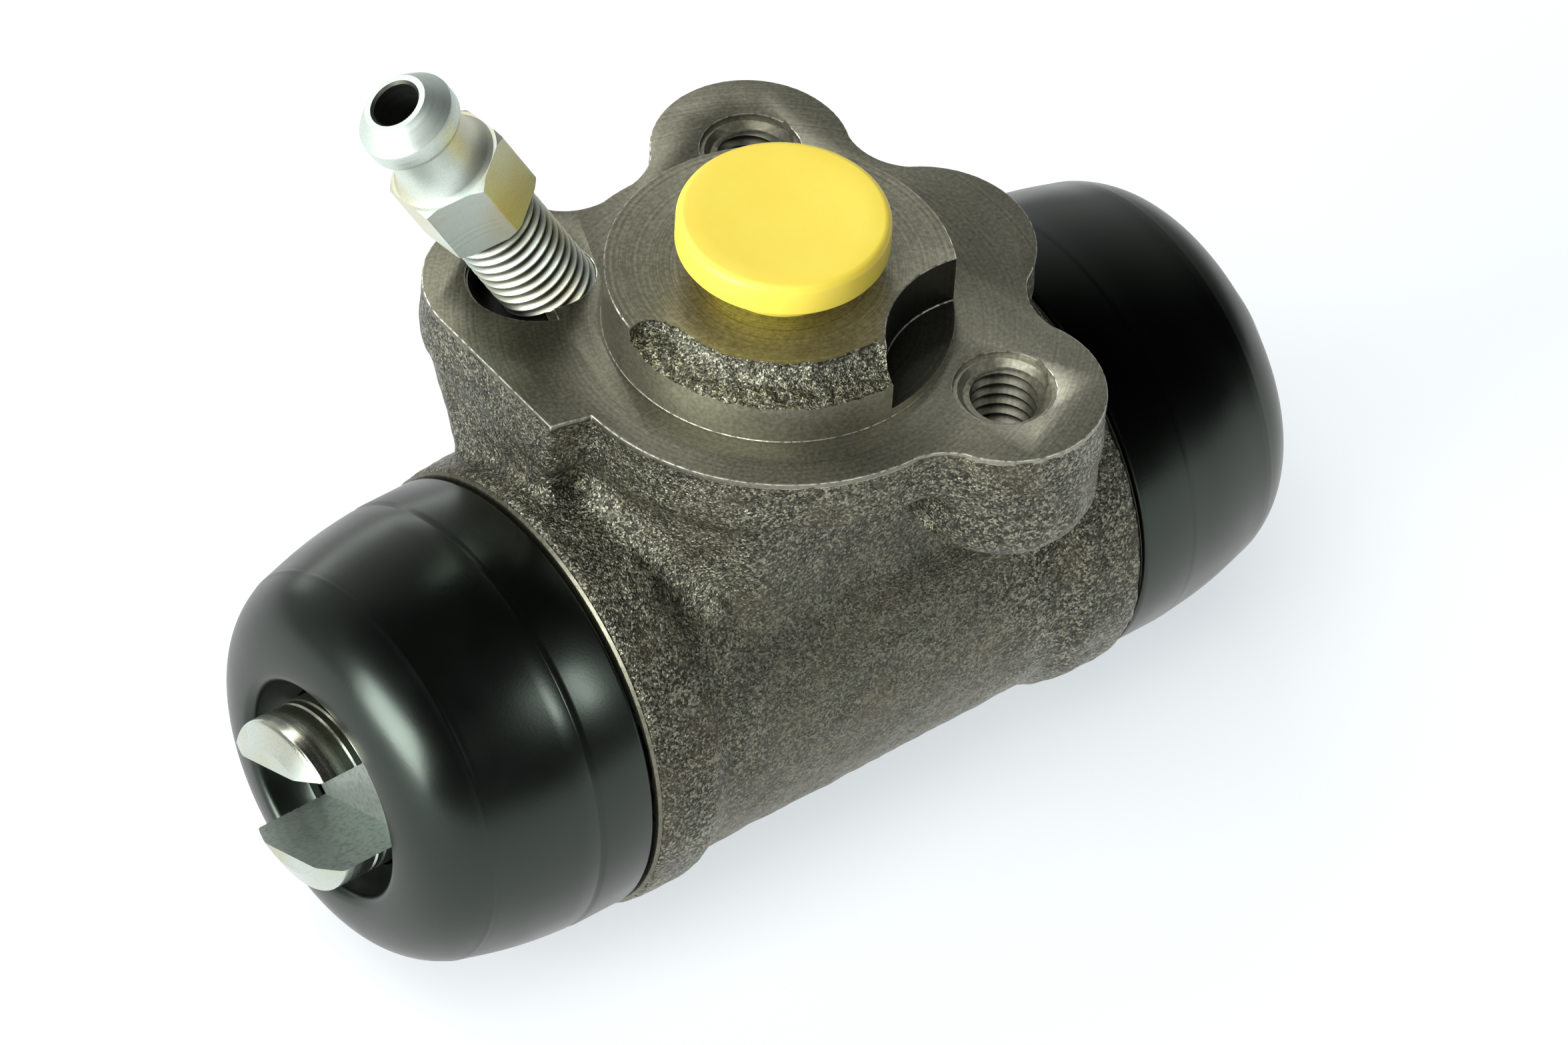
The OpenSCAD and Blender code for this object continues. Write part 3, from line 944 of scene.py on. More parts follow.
@dataclass
class CastBody:
    """Iron body: a rough casting that is then milled, turned, bored and tapped."""

    skim: float = 0.35
    riser: float = 4.0
    voxel: float = 0.42
    lumps: tuple[Point, ...] = ((3.5, 0.34), (1.1, 0.14))
    bore_r: float = 11.11
    collar_x: float = 22.2
    collar_r: float = 17.4
    collar_chamfer: float = 0.4
    collar_line: float = 0.12
    collar_flare: float = 1.3
    spigot_lap: float = 0.2
    boss_r: float = 12.7
    boss_h: float = 5.0
    boss_foot: float = 0.05
    boss_root: float = 0.3
    arris: float = 0.08
    pocket_r: float = 9.8
    band_h: float = 3.2
    pocket_start: float = 183.0
    pocket_sweep: float = 94.0
    pocket_clear: float = 1.2
    pocket_voxel: float = 0.16
    pocket_lumps: tuple[Point, ...] = ((0.9, 0.5), (0.35, 0.14))
    notch_r: float = 8.8
    notch_floor: float = 0.8
    bolt_x: float = 9.0
    bolt_y: float = 15.0
    thread_r: float = 3.0
    thread_core: float = 2.5
    thread_bed: float = 0.06
    bolt_depth: float = 8.5
    sink_r: float = 3.75
    sink_depth: float = 0.8
    port_r: float = 4.5
    port_sink: float = 0.3
    port_floor: float = -7.0
    passage_r: float = 1.5
    bore_top: float = -15.0
    # Rods that stop the holes while the body is cast: radius, low end, high end
    bore_fill: Spot = (12.01, -29.0, 29.0)
    port_fill: Spot = (6.0, -15.0, 8.0)
    bolt_fill: Spot = (4.3, -10.6, 6.0)
    bleed_fill: Spot = (5.2, -20.0, 8.0)
    # Cast fillet between the web's left wall and the collar, and a small hollow under the lug
    corner: tuple[Spot, ...] = ((-17.0, -0.9, -9.0), (-16.15, -5.0, -9.9), (-13.5, -10.4, -14.6))
    fillet_facing: Spot = (-0.774, -0.349, 0.528)
    fillet_h: float = 1.2
    fillet_root: float = 2.5
    fillet_half: float = 2.2
    fillet_lap: float = 0.6
    recess_at: Spot = (1.3, -15.6, -9.2)
    recess_r: float = 1.4

    def bolts(self) -> list[Matrix]:
        """Places of the two tapped holes, front one first."""
        return [shift(self.bolt_x, y, 0) for y in (-self.bolt_y, self.bolt_y)]

    def fillers(self) -> list[Piece]:
        """Rods that stop every hole, and the planks of the cast fillet.

        Returns:
            The fillers, each in place.
        """
        rods = [rod("fill", *self.bore_fill, BORE), rod("fill", *self.port_fill)]
        rods += [rod("fill", *self.bolt_fill, place) for place in self.bolts()]
        rods.append(rod("fill", *self.bleed_fill, BleedScrew.axis()))
        return rods + self.fillet()

    def fillet(self) -> list[Piece]:
        """Planks that fill the corner between the web's left wall and the collar, as a cast fillet does.

        Returns:
            One plank for each stretch of the corner.
        """
        planks = []
        for start, end in zip(self.corner, self.corner[1:]):
            run = Vector(end) - Vector(start)
            along = run.normalized()
            side = Vector(self.fillet_facing).cross(along).normalized()
            middle = (Vector(start) + Vector(end)) / 2 * MM
            lie = Matrix((along, side, along.cross(side))).transposed().to_4x4()
            reach = run.length / 2 + self.fillet_lap
            plank = block("plank", (-reach, -self.fillet_half, -self.fillet_root),
                          (reach, self.fillet_half, self.fillet_h))
            planks.append(put(plank, Matrix.Translation(middle) @ lie))
        return planks

    def casting(self) -> Piece:
        """Pours the blank: no holes, rounded corners, lumpy skin.

        Returns:
            The casting, cut flat under the face and at its collars, with the bore.
        """
        blank = cad_copy("cylinder_body", "cast_body")
        with editing(blank):
            select_points(blank, lambda at: at.z > -HAIR)
            bpy.ops.transform.translate(value=(0, 0, self.riser * MM))
        fuse(blank, self.fillers())
        remesh(blank, self.voxel, 5)
        bpy.ops.mesh.primitive_uv_sphere_add(radius=self.recess_r * MM)
        combine(blank, put(bpy.context.object, shift(*self.recess_at)), Cut.REMOVE)
        apply_modifier(blank, "SMOOTH", factor=0.5, iterations=2)
        roughen(blank, *self.lumps)
        dress(blank, CASTING)
        carve(blank, block("top", (-WIDE, -WIDE, -self.skim), (WIDE, WIDE, WIDE / 2)), MILLED)
        for side in Side:
            self.trim(blank, side)
        carve(blank, rod("bore", self.bore_r, -WIDE / 2, WIDE / 2, BORE), BORED)
        return blank

    def trim(self, blank: Piece, side: Side) -> None:
        """Turns a collar's end flat, with a chamfer darkened as painted shade and a thin bright line that
        is partly a painted highlight.

        Args:
            blank: The casting.
            side: Which collar.
        """
        rim = self.collar_r - self.collar_chamfer
        line = self.collar_chamfer - self.collar_line
        wide = rim + self.collar_flare
        end = turned("end", [(0, self.collar_x), (rim, self.collar_x), (rim + line, self.collar_x - line),
                             (wide, self.collar_x - self.collar_flare), (wide, 40), (0, 40)], on_bore(side))
        dress(end, SHADED)
        paint(end, EDGE, lambda at, normal: sloping(normal.x) and abs(at.x) < self.collar_x - line)
        combine(blank, end, Cut.REMOVE)

    def spigots(self) -> Piece:
        """The grooved ends that the boots grip.

        Returns:
            Both ends, which reach a little into the collars.
        """
        ends = cad_copy("cylinder_body", "spigots")
        dress(ends, BORED)
        inside = self.collar_x - self.spigot_lap
        combine(ends, block("middle", (-inside, -WIDE, -WIDE), (inside, WIDE, WIDE)), Cut.REMOVE)
        return ends

    def face(self) -> Piece:
        """The milled face: the flange's outline as a thin plate with a bright arris.

        Returns:
            The plate.
        """
        level, near = 0.99, 0.03
        plate = cad_copy("cylinder_body", "face")
        with editing(plate, Mode.FACES):
            select_faces(plate, lambda at, normal: normal.z < level or abs(at.z) > HAIR)
            bpy.ops.mesh.delete(type="FACE")
            select_points(plate, lambda at: abs(at.xy.length - self.boss_r) < near)
            bpy.ops.mesh.edge_face_add()
            bpy.ops.mesh.select_all(action="SELECT")
            bpy.ops.mesh.dissolve_limited(angle_limit=math.radians(1))
            bpy.ops.mesh.select_all(action="SELECT")
            down = (0, 0, -1.5 * self.skim * MM)
            bpy.ops.mesh.extrude_region_move(TRANSFORM_OT_translate={"value": down})
        close_up(plate)
        dress(plate, MILLED)
        plate.data.materials.append(EDGE.material())
        apply_modifier(plate, "BEVEL", width=self.arris * MM, segments=2, limit_method="ANGLE",
                       angle_limit=math.radians(60), material=1)
        return plate

    def pocket(self) -> Piece:
        """Tool for the part of the boss that was left as cast.

        Returns:
            A lumpy sector of a ring with one round end.
        """
        depth = self.boss_h - self.band_h
        wide = self.boss_r + self.pocket_clear
        tall = self.boss_h + self.pocket_clear
        tool = sketch("pocket", [(self.pocket_r, tall), (self.pocket_r, self.boss_h - depth / 4),
                                 (self.pocket_r + depth / 2, self.band_h + depth / 4),
                                 (self.boss_r, self.band_h), (wide, self.band_h), (wide, tall)])
        with editing(tool):
            bpy.ops.mesh.edge_face_add()
            bpy.ops.mesh.spin(steps=48, angle=math.radians(self.pocket_sweep), center=(0, 0, 0),
                              axis=(0, 0, -1))
        close_up(tool)
        width = self.boss_r - self.pocket_r
        end_at = shift(self.boss_r - width / 4, 0, 0)
        fuse(tool, [rod("pocket_end", (width + depth / 2) / 2, self.band_h + depth / 4, tall, end_at)])
        put(tool, turn(self.pocket_start, "Z"))
        remesh(tool, self.pocket_voxel, 3)
        roughen(tool, *self.pocket_lumps)
        return tool

    def boss(self) -> Piece:
        """The turned pilot boss with its notch for a bolt head and its as-cast pocket.

        Returns:
            The boss, which reaches a little into the face.
        """
        top = self.boss_h
        foot = self.boss_r + self.boss_foot + 0.1
        boss = turned("boss", [(0, -self.boss_root), (foot, -self.boss_root), (foot, -0.1),
                               (self.boss_r, self.boss_foot), (self.boss_r, top - self.arris),
                               (self.boss_r - self.arris, top), (0, top)], steps=192)
        dress(boss, TURNED)
        paint(boss, EDGE, lambda at, normal: sloping(normal.z))
        flare = 0.5
        notch = turned("notch", [(0, self.notch_floor), (self.notch_r - self.arris, self.notch_floor),
                                 (self.notch_r, self.notch_floor + self.arris),
                                 (self.notch_r, top - self.arris),
                                 (self.notch_r + self.arris + flare, top + flare), (0, top + flare)],
                       self.bolts()[0], 192)
        # the notch's walls and floor are darkened as painted shade
        dress(notch, SHADED)
        paint(notch, EDGE, lambda at, normal: sloping(normal.z))
        combine(boss, notch, Cut.REMOVE)
        carve(boss, self.pocket(), POCKET)
        return boss

    def drill(self, body: Piece) -> None:
        """Drills the inlet and the bleed hole, and taps the two bolt holes.

        Args:
            body: The body.
        """
        over = 0.5
        mouth = self.boss_h + over
        port = turned("port", [(0, mouth), (self.port_r + self.port_sink + over, mouth),
                               (self.port_r, self.boss_h - self.port_sink), (self.port_r, self.port_floor),
                               (self.passage_r, self.port_floor - self.port_r / 2),
                               (self.passage_r, self.bore_top), (0, self.bore_top)])
        carve(body, port, BORED)
        # the bleed hole is near black as painted shade
        carve(body, BleedScrew.hole(self.passage_r), SHADED_HOLE)
        deep, above = self.sink_depth, 1.0
        point = self.bolt_depth + self.thread_r * math.tan(math.radians(30))
        for place in self.bolts():
            hole = turned("hole", [(0, above), (self.thread_r, above), (self.thread_r, -self.bolt_depth),
                                   (0, -point)], place)
            carve(body, hole, SHADED_TAPPED)
            ridge = thread("ridge", self.thread_r + self.thread_bed, self.thread_core,
                           0.3 - self.bolt_depth, over, place)
            dress(ridge, SHADED_TAPPED)
            combine(body, ridge, Cut.JOIN)
            sink = turned("sink", [(0, above), (self.sink_r + above, above), (self.sink_r - deep, -deep),
                                   (0, -deep)], place)
            carve(body, sink, BORED)

    def build(self) -> Piece:
        """Makes the whole body and seats it on the housing.

        Returns:
            The finished body.
        """
        body = self.casting()
        for part in (self.spigots(), self.face(), self.boss()):
            combine(body, part, Cut.JOIN)
        self.drill(body)
        smooth_shade(body, 38)
        seat(body, "housing", "cast_body", "cylinder_body")
        return body


@dataclass
class BleedScrew:
    """Hollow bleed screw: threaded shank, hexagon, waisted neck and barbed nipple."""

    at: Point = (-11.5, 13.2)
    heading: float = 160.0
    lean: float = 30.0
    spot_r: float = 4.7
    spot_top: float = 16.0
    hole_r: float = 3.55
    hole_floor: float = -13.0
    passage_floor: float = -24.0
    seat_r: float = 1.5
    seat_h: float = 2.05
    shank_r: float = 2.92
    crest_r: float = 3.5
    thread_bed: float = 0.05
    stand: float = 9.2
    hex_flats: float = 8.0
    hex_h: float = 5.9
    hex_edge: float = 0.12
    hex_bevel: float = 0.4
    hex_turn: float = -8.0
    foot: float = -12.6
    tip: float = 22.7
    neck_r: float = 3.15
    bulb_low: float = 19.3
    bulb_r: float = 3.7
    tip_r: float = 2.6
    hollow_r: float = 1.75
    cross_at: float = 3.75

    @classmethod
    def axis(cls) -> Matrix:
        """Place of the screw's leaning axis, where it meets the milled face."""
        return shift(*cls.at, 0) @ turn(cls.heading, "Z") @ turn(cls.lean, "Y")

    @classmethod
    def hole(cls, passage: float) -> Piece:
        """Makes the tool for the spot face, threaded hole, seat and passage in the body.

        Args:
            passage: Radius of the passage into the bore.

        Returns:
            The tool, in place.
        """
        return turned("bleed_hole", [(0, cls.spot_top), (cls.spot_r, cls.spot_top), (cls.spot_r, 0),
                                     (cls.hole_r, 0), (cls.hole_r, cls.hole_floor),
                                     (passage, cls.hole_floor - cls.seat_h), (passage, cls.passage_floor),
                                     (0, cls.passage_floor)], cls.axis())

    def hexagon(self) -> Piece:
        """The hexagon, with softened corners and its upper corners turned off.

        Returns:
            The hexagon, upright.
        """
        low, high = self.stand, self.stand + self.hex_h
        corner = self.hex_flats / 2 / math.cos(math.radians(30))
        bpy.ops.object.select_all(action="DESELECT")
        bpy.ops.mesh.primitive_cylinder_add(vertices=6, radius=corner * MM, depth=self.hex_h * MM,
                                            location=(0, 0, (self.stand + self.hex_h / 2) * MM),
                                            rotation=(0, 0, math.radians(90 + self.hex_turn)))
        nut = bpy.context.object
        put(nut, nut.matrix_world.copy())
        with editing(nut, Mode.EDGES):
            with choosing(Mode.EDGES):
                for edge in nut.data.edges:
                    a, b = (nut.data.vertices[i].co for i in edge.vertices)
                    edge.select = abs(a.z - b.z) > MM
            bpy.ops.mesh.bevel(offset=self.hex_edge * MM, segments=2, affect="EDGES")
        shape = turned("hex_shape", [(0, low), (corner - 0.35, low), (corner, low + 0.3),
                                     (corner, high - self.hex_bevel), (corner - self.hex_bevel, high),
                                     (0, high)])
        combine(nut, shape, Cut.KEEP)
        return nut

    def profile(self) -> Profile:
        """Half section from the seat cone over shank, neck and bulb to the tip.

        Returns:
            Points as (radius, height).
        """
        end = self.foot - self.seat_h
        hex_r = self.hex_flats / 2
        neck_low = self.stand + self.hex_h
        points = [(0, end), (self.seat_r, end), (self.crest_r - 0.1, self.foot - 0.1),
                  (self.shank_r, self.foot + 0.5), (self.shank_r, self.stand + 0.2),
                  (hex_r - 0.3, self.stand + 0.4), (hex_r - 0.3, neck_low - 0.2)]
        points += sweep((hex_r - 0.03, neck_low), (self.neck_r + 0.05, neck_low + 0.7),
                        (self.neck_r, neck_low + 2.9))
        points += [(self.neck_r, self.bulb_low - 0.2)]
        points += sweep((self.neck_r, self.bulb_low - 0.05), (self.bulb_r, self.bulb_low),
                        (self.bulb_r, self.bulb_low + 0.6))
        points += [(self.bulb_r, self.bulb_low + 1.6)]
        points += sweep((self.bulb_r - 0.04, self.bulb_low + 1.8), (self.tip_r + 0.25, self.tip - 0.5),
                        (self.tip_r, self.tip - 0.25))
        points += [(self.tip_r - 0.2, self.tip), (0, self.tip)]
        return points

    def build(self) -> Piece:
        """Turns the screw, adds hexagon and thread, drills it and seats it on the bleeder body.

        Returns:
            The finished screw.
        """
        screw = turned("bleed_screw_turned", self.profile())
        combine(screw, self.hexagon(), Cut.JOIN)
        combine(screw, thread("ridge", self.shank_r - self.thread_bed, self.crest_r, self.foot + 1.1,
                              self.stand, Matrix()), Cut.JOIN)
        dress(screw, ZincPlate("bleed_zinc", self.axis(), 0.25, 0.012, 1.15, white_above=self.bulb_low,
                               thread_top=self.stand))
        # painted shade: the screw's hollow and cross hole get a very dark zinc
        inside = ZincPlate("hollow_zinc", self.axis(), 0.4, 0.02, 0.12)
        hollow, low, mouth = self.hollow_r, self.foot + 2, self.tip + 0.3
        carve(screw, turned("hollow", [(0, low), (hollow, low), (hollow, self.tip - 0.2),
                                       (hollow + 0.5, mouth), (0, mouth)]), inside)
        across = shift(0, 0, self.foot + self.cross_at) @ turn(90, "Y")
        carve(screw, rod("cross", hollow / 2, -6, 6, across), inside)
        put(screw, self.axis())
        smooth_shade(screw, 16)
        seat(screw, "bleeder", "zinc_plated_steel", "bleed_screw")
        return screw


@dataclass
class Piston:
    """Zinc-plated piston with a slotted nose for the shoe web."""

    side: Side
    turn: float
    skirt_r: float = 11.07
    skirt_edge: float = 0.5
    back: float = 12.5
    skirt_end: float = 26.5
    nose_r: float = 6.75
    nose_root: float = 0.8
    nose_end: float = 43.5
    tip_r: float = 4.9
    chamfer: float = 1.0
    grooves: Spot = (6.4, 4.6, 3.9)
    groove_half: float = 0.14
    groove_depth: float = 0.1
    slot_w: float = 7.2
    slot_depth: float = 7.0

    def profile(self) -> Profile:
        """Half section with skirt chamfers, a root fillet and three fine grooves on the nose.

        Returns:
            Points as (radius, distance from the middle of the bore).
        """
        small = self.skirt_r - self.skirt_edge
        points = [(0, self.back), (small, self.back), (self.skirt_r, self.back + self.skirt_edge),
                  (self.skirt_r, self.skirt_end - self.skirt_edge), (small, self.skirt_end)]
        points += sweep((self.nose_r + self.nose_root, self.skirt_end), (self.nose_r, self.skirt_end),
                        (self.nose_r, self.skirt_end + self.nose_root))
        for groove in self.grooves:
            at = self.nose_end - groove
            points += [(self.nose_r, at - self.groove_half), (self.nose_r - self.groove_depth, at),
                       (self.nose_r, at + self.groove_half)]
        edge = self.nose_end - self.chamfer
        points += sweep((self.nose_r, edge - 0.25), (self.nose_r, edge + 0.05),
                        (self.nose_r - 0.35, edge + 0.2))
        points += sweep((self.tip_r + 0.15, self.nose_end - 0.08), (self.tip_r, self.nose_end),
                        (self.tip_r - 0.25, self.nose_end))
        points += [(0, self.nose_end)]
        return points

    def build(self) -> Piece:
        """Turns the piston, mills its slot and seats it on its body.

        Returns:
            The finished piston.
        """
        name = f"piston_{self.side.word}"
        place = on_bore(self.side)
        work = turned(f"{name}_turned", self.profile(), place)
        half, wide = self.slot_w / 2, 9.0
        floor, mouth = self.nose_end - self.slot_depth, self.nose_end + 2
        low, high = sorted(self.side.value * x for x in (floor, mouth))
        slot = block("slot", (low, -wide, -half), (high, wide, half))
        put(slot, AXIS @ turn(self.turn, "X"))
        dress(work, ZincPlate(f"{name}_zinc", place, 0.35, 0.03, rough=0.18, metal=1.0))
        carve(work, slot, ZincPlate(f"{name}_slot_zinc", place, 0.9, 0.02, 0.72, grain=0.4, mottle=0.6,
                                    white_above=-99))
        with editing(work):
            bpy.ops.mesh.dissolve_degenerate(threshold=WELD)
        smooth_shade(work, 28)
        seat(work, f"{self.side.word}_piston", "zinc_plated_steel", name)
        return work


@dataclass
class Boot:
    """Black rubber dust boot that is stretched over the spigot and grips the piston's nose."""

    side: Side
    mouth_x: float = 22.5
    end_x: float = 40.0
    outer_r: float = 17.0
    rim: float = 0.4
    band_w: float = 4.6
    step: float = 0.08
    bulge: float = 0.2
    taper: float = 1.2
    dome_r: float = 6.5
    dome_start: float = 12.0
    wall: float = 2.0
    lip_r: float = 7.05
    lip_round: float = 0.8
    sleeve_r: float = 14.1
    bead_r: float = 12.9
    bead: Point = (25.0, 27.4)
    spigot_end: float = 29.8
    ridge_turn: float = 19.5
    ridge_foot: float = 1.6
    ridge_top: float = 0.6
    ridge: float = 0.025
    groove: float = 0.15
    stretch: Point = (30.0, 38.5)

    def profile(self) -> Profile:
        """Closed half section: rim, band with its groove, taper, dome with a mould line, lip and lining.

        Returns:
            Points as (radius, distance from the middle of the bore).
        """
        band_end = self.mouth_x + self.band_w
        dome_at = (self.outer_r - self.taper - self.dome_r, self.end_x - self.dome_r)
        lip_x = self.end_x - self.lip_round - self.wall
        ridge = self.ridge_turn
        points = [(self.sleeve_r, self.mouth_x), (self.outer_r - self.rim, self.mouth_x)]
        points += arc((self.outer_r - self.rim, self.mouth_x + self.rim), self.rim, -90, 0, 4)[1:]
        points += [(self.outer_r, band_end - 0.4), (self.outer_r - 0.04, band_end - 0.15),
                   (self.outer_r - self.groove, band_end + 0.1),
                   (self.outer_r - self.groove, band_end + 0.25)]
        dome = arc(dome_at, self.dome_r, self.dome_start, ridge - self.ridge_foot, 4)
        start = (self.outer_r - self.step, band_end + 0.55)
        for share in (0, 0.17, 0.33, 0.5, 0.67, 0.83):
            swell = self.bulge * math.sin(math.pi * share)
            points.append(tuple(a + share * (b - a) + grow
                                for a, b, grow in zip(start, dome[0], (swell, 0))))
        points += dome
        points += arc(dome_at, self.dome_r + self.ridge, ridge - self.ridge_top, ridge + self.ridge_top, 2)
        points += arc(dome_at, self.dome_r, ridge + self.ridge_foot, 90, 22)
        points += arc((dome_at[0], self.end_x - self.lip_round), self.lip_round, 90, 180, 8)[1:]
        points += [(self.lip_r + 0.15, lip_x + 0.15), (self.lip_r, lip_x), (self.lip_r, lip_x - self.wall)]
        points += arc(dome_at, self.dome_r - self.wall, 68, 0, 10)
        near, far = self.bead
        points += [(self.sleeve_r, self.spigot_end), (self.sleeve_r, far), (self.bead_r, far),
                   (self.bead_r, near), (self.sleeve_r, near), (self.sleeve_r, self.mouth_x)]
        return points

    def build(self) -> Piece:
        """Moulds the boot on its side of the bore.

        Returns:
            The finished boot.
        """
        name = f"boot_{self.side.word}"
        boot = turned(f"{name}_moulded", self.profile(), on_bore(self.side), 160)
        dress(boot, RUBBER)
        smooth_shade(boot, 34)
        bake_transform(boot)
        describe(boot, "boot_rubber", name)
        return boot


@dataclass
class PortPlug:
    """Yellow plug that keeps dirt out of the fluid inlet."""

    seat_z: float = 5.0
    head_r: float = 7.75
    head_t: float = 2.7
    soft: float = 0.6
    under: float = 0.3
    dish: tuple[Point, ...] = ((1.9, 0.01), (2.4, 0.04))
    dish_depth: float = 0.06
    shoulder_r: float = 5.1
    shoulder_h: float = 2.6
    stem_r: float = 4.4
    stem: float = 8.0
    edge: float = 0.5

    def build(self) -> Piece:
        """Moulds the plug and seats it on its body.

        Returns:
            The finished plug.
        """
        end = self.seat_z - self.stem
        low = self.seat_z + self.shoulder_h
        top = low + self.head_t
        profile = [(0, end), (self.stem_r - self.edge, end), (self.stem_r, end + self.edge),
                   (self.stem_r, self.seat_z), (self.shoulder_r, self.seat_z)]
        profile += sweep((self.shoulder_r, low - self.edge), (self.shoulder_r, low),
                         (self.shoulder_r + self.edge, low))
        profile += arc((self.head_r - self.under, low + self.under), self.under, -90, 0, 4)
        profile += arc((self.head_r - self.soft, top - self.soft), self.soft, 0, 90, 10)
        profile += [(self.head_r - inward, top - drop) for inward, drop in self.dish]
        profile += [(0, top - self.dish_depth)]
        plug = turned("port_plug_moulded", profile)
        dress(plug, YELLOW)
        smooth_shade(plug, 40)
        seat(plug, "plug", "plug_plastic", "port_plug")
        return plug


@dataclass
class Innards:
    """What the bore hides: rubber cups, their expanders and the return spring."""

    cut_x: float = 0.0
    spring_end: float = 9.7

    def build(self) -> None:
        """Dresses the cups and expanders, and halves the spring at the middle of the bore."""
        for side in Side:
            for kind, finish in (("cup_seal", CUP_RUBBER), ("cup_expander", STEEL)):
                node = f"{kind}_{side.word}"
                dress(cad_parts[node], finish)
                log.info("%s: dressed", node)
            half = cad_copy("return_spring", f"return_spring_{side.word}")
            with editing(half):
                bpy.ops.mesh.bisect(plane_co=(self.cut_x * MM, 0, 0), plane_no=(side.value, 0, 0),
                                    use_fill=True, clear_inner=True)
            close_up(half)
            dress(half, STEEL)
            smooth_shade(half, 50)
            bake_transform(half)
            describe(half, "spring_steel", "return_spring")


# The studio

BOOTS = ("boot_left_moulded", "boot_right_moulded")


@dataclass(frozen=True)
class Softbox:
    """A soft lamp that points at the part; distance, size and power are in metres and watts."""

    name: str
    bearing: float
    height: float
    distance: float
    size: Point
    power: float
    pieces: tuple[str, ...] = ()
    lit: Lit = Lit.ONLY

    def build(self) -> None:
        """Hangs the lamp, bearing counted from +X towards +Y, and sets which pieces it lights."""
        lamp = bpy.data.lights.new(self.name, "AREA")
        lamp.shape = "RECTANGLE"
        lamp.size, lamp.size_y = self.size
        lamp.energy = self.power
        obj = bpy.data.objects.new(self.name, lamp)
        bpy.context.scene.collection.objects.link(obj)
        bearing, height = math.radians(self.bearing), math.radians(self.height)
        level = math.cos(height)
        away = Vector((level * math.cos(bearing), level * math.sin(bearing), math.sin(height)))
        obj.location = away * self.distance + Vector((0, 0, -0.02))
        obj.rotation_euler = away.to_track_quat("Z", "Y").to_euler()
        if self.pieces:
            group = bpy.data.collections.new(f"{self.name}_group")
            for name in self.pieces:
                group.objects.link(bpy.data.objects[name])
            for member in group.collection_objects:
                member.light_linking.link_state = self.lit.value
            obj.light_linking.receiver_collection = group


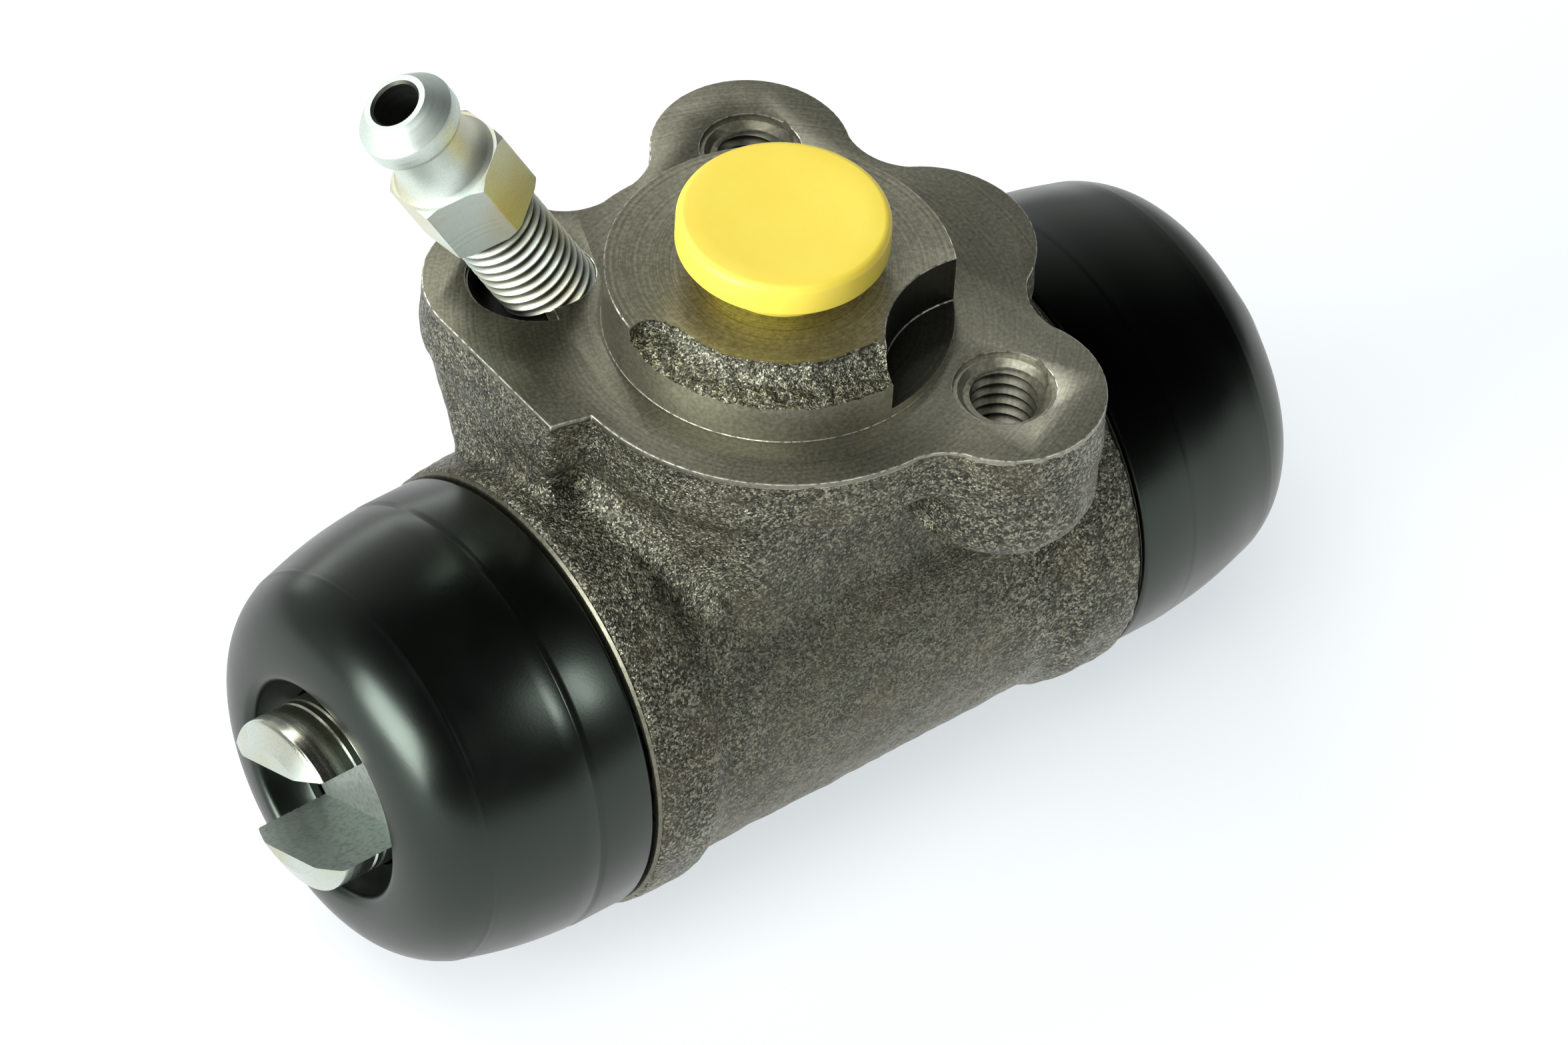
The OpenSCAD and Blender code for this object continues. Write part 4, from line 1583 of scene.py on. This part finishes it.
@dataclass
class Studio:
    """White table, soft lamps, pale surroundings and the camera."""

    table_z: float = -42.95
    table_size: float = 8.0
    # How bright the table looks to the camera, and in metal and rubber at two distances behind the part
    white_level: float = 1.35
    white_share: float = 0.5
    mirror_levels: Point = (1.08, 0.12)
    mirror_reach: Point = (0.08, 0.4)
    mirror_share: float = 0.85
    lens: float = 267.63
    sensor: float = 36.0
    eye: Spot = (-385.017, -458.694, 585.098)
    heading: float = 40.15
    elevation: float = 45.34
    roll: float = 3.916
    sky_levels: tuple[Point, ...] = ((0.0, 0.58), (0.40, 0.42), (0.70, 0.28), (0.90, 0.05))
    pale_side: Spot = (0.26, 0.966, 0.0)
    dark_level: float = 0.03
    lamps: tuple[Softbox, ...] = (
        Softbox("left_softbox", 182, 16, 1.1, (0.75, 0.5), 15),
        Softbox("rear_strip", 74, 6, 1.2, (1.2, 0.22), 1.6, BOOTS[:1]),
        Softbox("key_softbox", -49, 47, 1.2, (0.5, 0.4), 1.2, ("cast_body",)),
        Softbox("front_softbox", -64, 37, 1.1, (0.13, 0.36), 2.4, BOOTS[:1]),
        Softbox("top_softbox", 205, 62, 1.3, (0.9, 0.9), 10, BOOTS, Lit.ALL_BUT),
        Softbox("back_softbox", 95, 46, 1.3, (1.3, 0.4), 6, BOOTS, Lit.ALL_BUT),
    )

    def table(self) -> None:
        """A wide pale floor that keeps the part's shadow and looks white to the camera."""
        bpy.ops.object.select_all(action="DESELECT")
        bpy.ops.mesh.primitive_plane_add(size=self.table_size, location=(0, 0, self.table_z * MM))
        floor = bpy.context.object
        floor.name = "table"
        graph = Graph(bpy.data.materials.new("white_table"))
        colour = graph.ramp(graph.noise(40), (0.3, (0.90, 0.91, 0.915)), (0.7, (0.92, 0.925, 0.93)))
        graph.surface(colour, 0.9, 0.0)
        path = graph.node("LightPath").outputs
        seen, mirrored = path["Is Camera Ray"], path["Is Glossy Ray"]
        away = graph.node("SeparateXYZ", graph.place).outputs["Y"]
        fade = graph.span(away, *self.mirror_levels, *self.mirror_reach)
        level = graph.math("MAXIMUM", graph.times(seen, self.white_level), graph.times(mirrored, fade))
        share = graph.math("MAXIMUM", graph.times(seen, self.white_share),
                           graph.times(mirrored, self.mirror_share))
        tint = graph.mix(seen, (0.985, 0.992, 1.0, 1), (0.907, 0.964, 1.0, 1))
        glow = graph.node("Emission", tint, level).outputs[0]
        blend = graph.node("MixShader", share, graph.shader.outputs[0], glow)
        graph.feed(graph.nodes["Material Output"].inputs["Surface"], blend.outputs[0])
        floor.data.materials.append(graph.owner)

    def sky(self) -> None:
        """Surroundings that are pale behind the part near the horizon, and dark overhead and in front."""
        world = bpy.data.worlds.new("studio")
        bpy.context.scene.world = world
        graph = Graph(world, "Generated")
        height = graph.node("SeparateXYZ", graph.place).outputs["Z"]
        colour = graph.ramp(height, *((at, [level] * 3) for at, level in self.sky_levels))
        facing = graph.node("VectorMath", graph.place, self.pale_side, operation="DOT_PRODUCT")
        inputs = graph.nodes["Background"].inputs
        strength = graph.span(facing.outputs["Value"], self.dark_level, 1.0, 0.15, 0.85)
        graph.feed(inputs["Color"], colour)
        graph.feed(inputs["Strength"], strength)

    def camera(self) -> None:
        """Sets up the camera where the photograph was taken from."""
        data = bpy.data.cameras.new("portrait")
        data.lens = self.lens
        data.sensor_width = self.sensor
        data.clip_end = 50
        obj = bpy.data.objects.new("portrait", data)
        bpy.context.scene.collection.objects.link(obj)
        aim = turn(-self.heading, "Z") @ turn(90 - self.elevation, "X") @ turn(self.roll, "Z")
        obj.matrix_world = shift(*self.eye) @ aim
        bpy.context.scene.camera = obj

    def build(self) -> None:
        """Sets the table, lamps, surroundings, view and camera."""
        self.table()
        for lamp in self.lamps:
            lamp.build()
        self.sky()
        self.camera()
        bpy.context.scene.view_settings.view_transform = "Standard"


def main() -> None:
    """Builds every piece of the wheel cylinder and the studio."""
    logging.basicConfig(level=logging.INFO, format="%(message)s")
    CastBody().build()
    BleedScrew().build()
    PortPlug().build()
    for side, turn in ((Side.LEFT, -24), (Side.RIGHT, 0)):
        Piston(side, turn).build()
    Boot(Side.LEFT).build()
    Boot(Side.RIGHT, ridge=0.008, groove=0.04).build()
    Innards().build()
    Studio().build()


if __name__ == "__main__":
    main()
